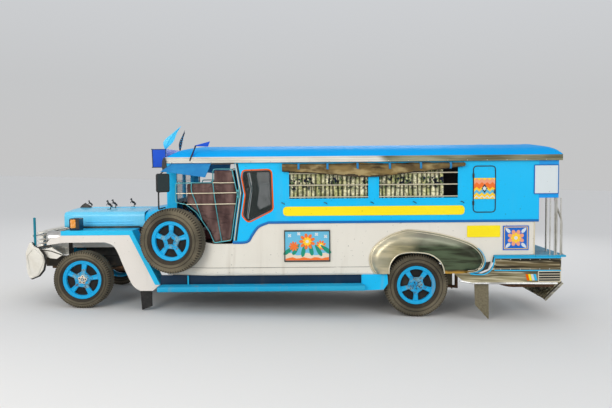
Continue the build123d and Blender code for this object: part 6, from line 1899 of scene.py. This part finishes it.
bands = [(zigzag(1060, 1104), 1), (zigzag(1006, 1060), 2), (zigzag(944, 978), 3), (zigzag(898, 912), 4)]
bands += [([(4580 - 34, 1014), (4580, 1014 - 52), (4580 + 34, 1014), (4580, 1014 + 52)], 5),
    (blossom(4580, 1014, 24, 6), 4)]
panelArt("hatch_picture", (4462, 4698, 897, 1131), 0, bands,
    ["artYellow", "artPeach", "artOrange", "artSky", "board", "artDark"])
rosette = [(rectangle(4805, 5070, 327, 580, 6, 2), 1), (rectangle(4812, 5063, 334, 573, 6, 2), 0)]
for k in range(4):
    turn = math.pi / 4 + k * math.pi / 2
    rosette.append((leaf(4937.5 + 128 * math.cos(turn), 453.5 + 122 * math.sin(turn), 74, 34, turn), 2))
rosette += [(blossom(4937.5, 453.5, 96, 8, 0.5), 3), (blossom(4937.5, 453.5, 58, 8, 0.55, 0.39), 1),
    (circle(4937.5, 453.5, 20, 18), 2)]
panelArt("corner_picture", (4793, 5082, 315, 592), 0, rosette, ["artBlue", "artYellow", "board", "artPeach"])
print("painted panels made")

# small fittings
fittings = {"hookUs": [2314, 2793, 3317, 3796, 4332], "rivet": 5.5, "rivetPitch": 132}
hooks = Shape()
for u in fittings["hookUs"]:
    hooks.tube([at(u - 16, -874, 872), at(u, -884, 868), at(u + 14, -882, 860), at(u + 18, -876, 852)], 4.5,
        6)
for v in (850, 1160):
    hooks.block(4446, 4466, -879, -870, v - 22, v + 22)
    hooks.tube([at(4452, -880, v - 24), at(4452, -880, v + 24)], 5, 8)
hooks.tube([at(4690, -872, 1000), at(4690, -892, 1000), at(4690, -892, 960), at(4690, -872, 960)], 5, 8)
pairedPiece("wall_hooks", hooks, "black", "black_plastic", angle=50)

rivets = Shape()


def rivetAt(spot, outward):
    size = fittings["rivet"]
    rivets.lathe([(-1, size), (1, size), (2.6, size * 0.6), (3.2, 0.01)], spot, outward, 7)


for u in range(1040, 3240, fittings["rivetPitch"]):
    rivetAt(at(u, -(sideY(u) + 6), 84), (0, -1, 0))
for u in range(4760, 5420, 110):
    rivetAt(at(u, -913, 104), (0, -1, 0))
    rivetAt(at(u, -913, 212), (0, -1, 0))
for u in range(1080, 5420, 220):
    rivetAt(at(u, -906, 1334), (0, -1, 0))
pairedPiece("rivet_rows", rivets, "stainless", "bright_metal", angle=60)

strips = Shape()
pillar = smoothPath([(1788, 1316), (1838, 1018), (1838, 951), (1790, 624), (1766, 446)], 5)
strips.tube([at(u - 4, -875, v) for u, v in pillar], 7, 8)
# a black band between the cream strip and the blue panel: painted shade in the gap
strips.sweep([at(u + 16, -871, v) for u, v in pillar], strip(9, -1, 2), up=outY, mark=1)
strips.tube(lineAt(-(870 + 3), ((5148, 262), (5148, 450), (5148, 636))), 7, 8)
strips.slab(rounded([(1510, 424), (1722, 440), (1722, 470), (1510, 452)], 5, 2), onSide, -866, -850, 2)
pairedPiece("pillar_strips", strips, ["barCream", "rubber", "wood"], "bright_metal", angle=60)

braces = Shape()
braces.slab(rounded([(-466, 350), (-336, 378), (-204, 296), (-240, 272), (-280, 246), (-356, 254),
    (-434, 298)], 10, 3), onSide, -806, -776, 0)
braces.tube(lineAt(-808, ((-450, 352), (-340, 336), (-222, 292))), 6, 6, mark=1)
braces.tube(lineAt(-812, ((-500, 372), (-420, 392), (-336, 398))), 9, 8, mark=1)
pairedPiece("bumper_braces", braces, ["bumper", "flapBlack"], "bright_metal", bevel=2)

poles = Shape()
for u, y in ((5320, 884), (5372, 884), (5440, 880)):
    poles.tube([at(u, -y, v) for v in (258, 500, 903)], 7, 8)
    poles.lathe([(0, 14), (4, 14), (5, 8)], at(u, -y, 256.5), vDir, 12)
pairedPiece("entrance_poles", poles, "stainless", "bright_metal", angle=60)

tail = Shape()
for side in (-1, 1):
    for y, mark, size in ((830, 1, 40), (726, 2, 34), (640, 3, 28)):
        spot = at(5442, side * y, 150)
        tail.lathe([(0, size + 7), (8, size + 7), (12, size + 3), (12, size - 1)], spot, uDir, 28, 0)
        tail.lathe([(4, size), (12, size - 2), (18, size * 0.6), (20, 0.01)], spot, uDir, 28, mark)
    tail.slab(rectangle(side * 560 - 40, side * 560 + 40, 128, 172, 6, 2), onCross, 5442, 5449, 0)
    tail.slab(rectangle(side * 560 - 34, side * 560 + 34, 134, 166, 4, 2), onCross, 5449, 5452, 1)
piece("tail_lamps", tail, "body", ["chrome", "red", "amber", "clear"], "lamp_amber", angle=50)
plates = Shape()
plates.slab(rectangle(-867, -487, -36, 88, 8, 3), onCross, 5442, 5447, 0)
plates.slab(rectangle(-859, -495, -28, 80, 6, 3), onCross, 5447, 5448.5, 1)
for y in (-190, 190):
    plates.lathe([(0, 7), (3, 6), (4, 0.01)], at(5448, -677 + y * 0.86, 60), uDir, 8, 2)
plates.slab(rectangle(-195, 195, 164, 292, 8, 3), onCross, -712, -705, 0)
plates.slab(rectangle(-187, 187, 172, 284, 6, 3), onCross, -713.5, -712, 1)
piece("blank_plates", plates, "body", ["stainless", "yellow", "black"], "body_white", bevel=0.8)
print("fittings made")
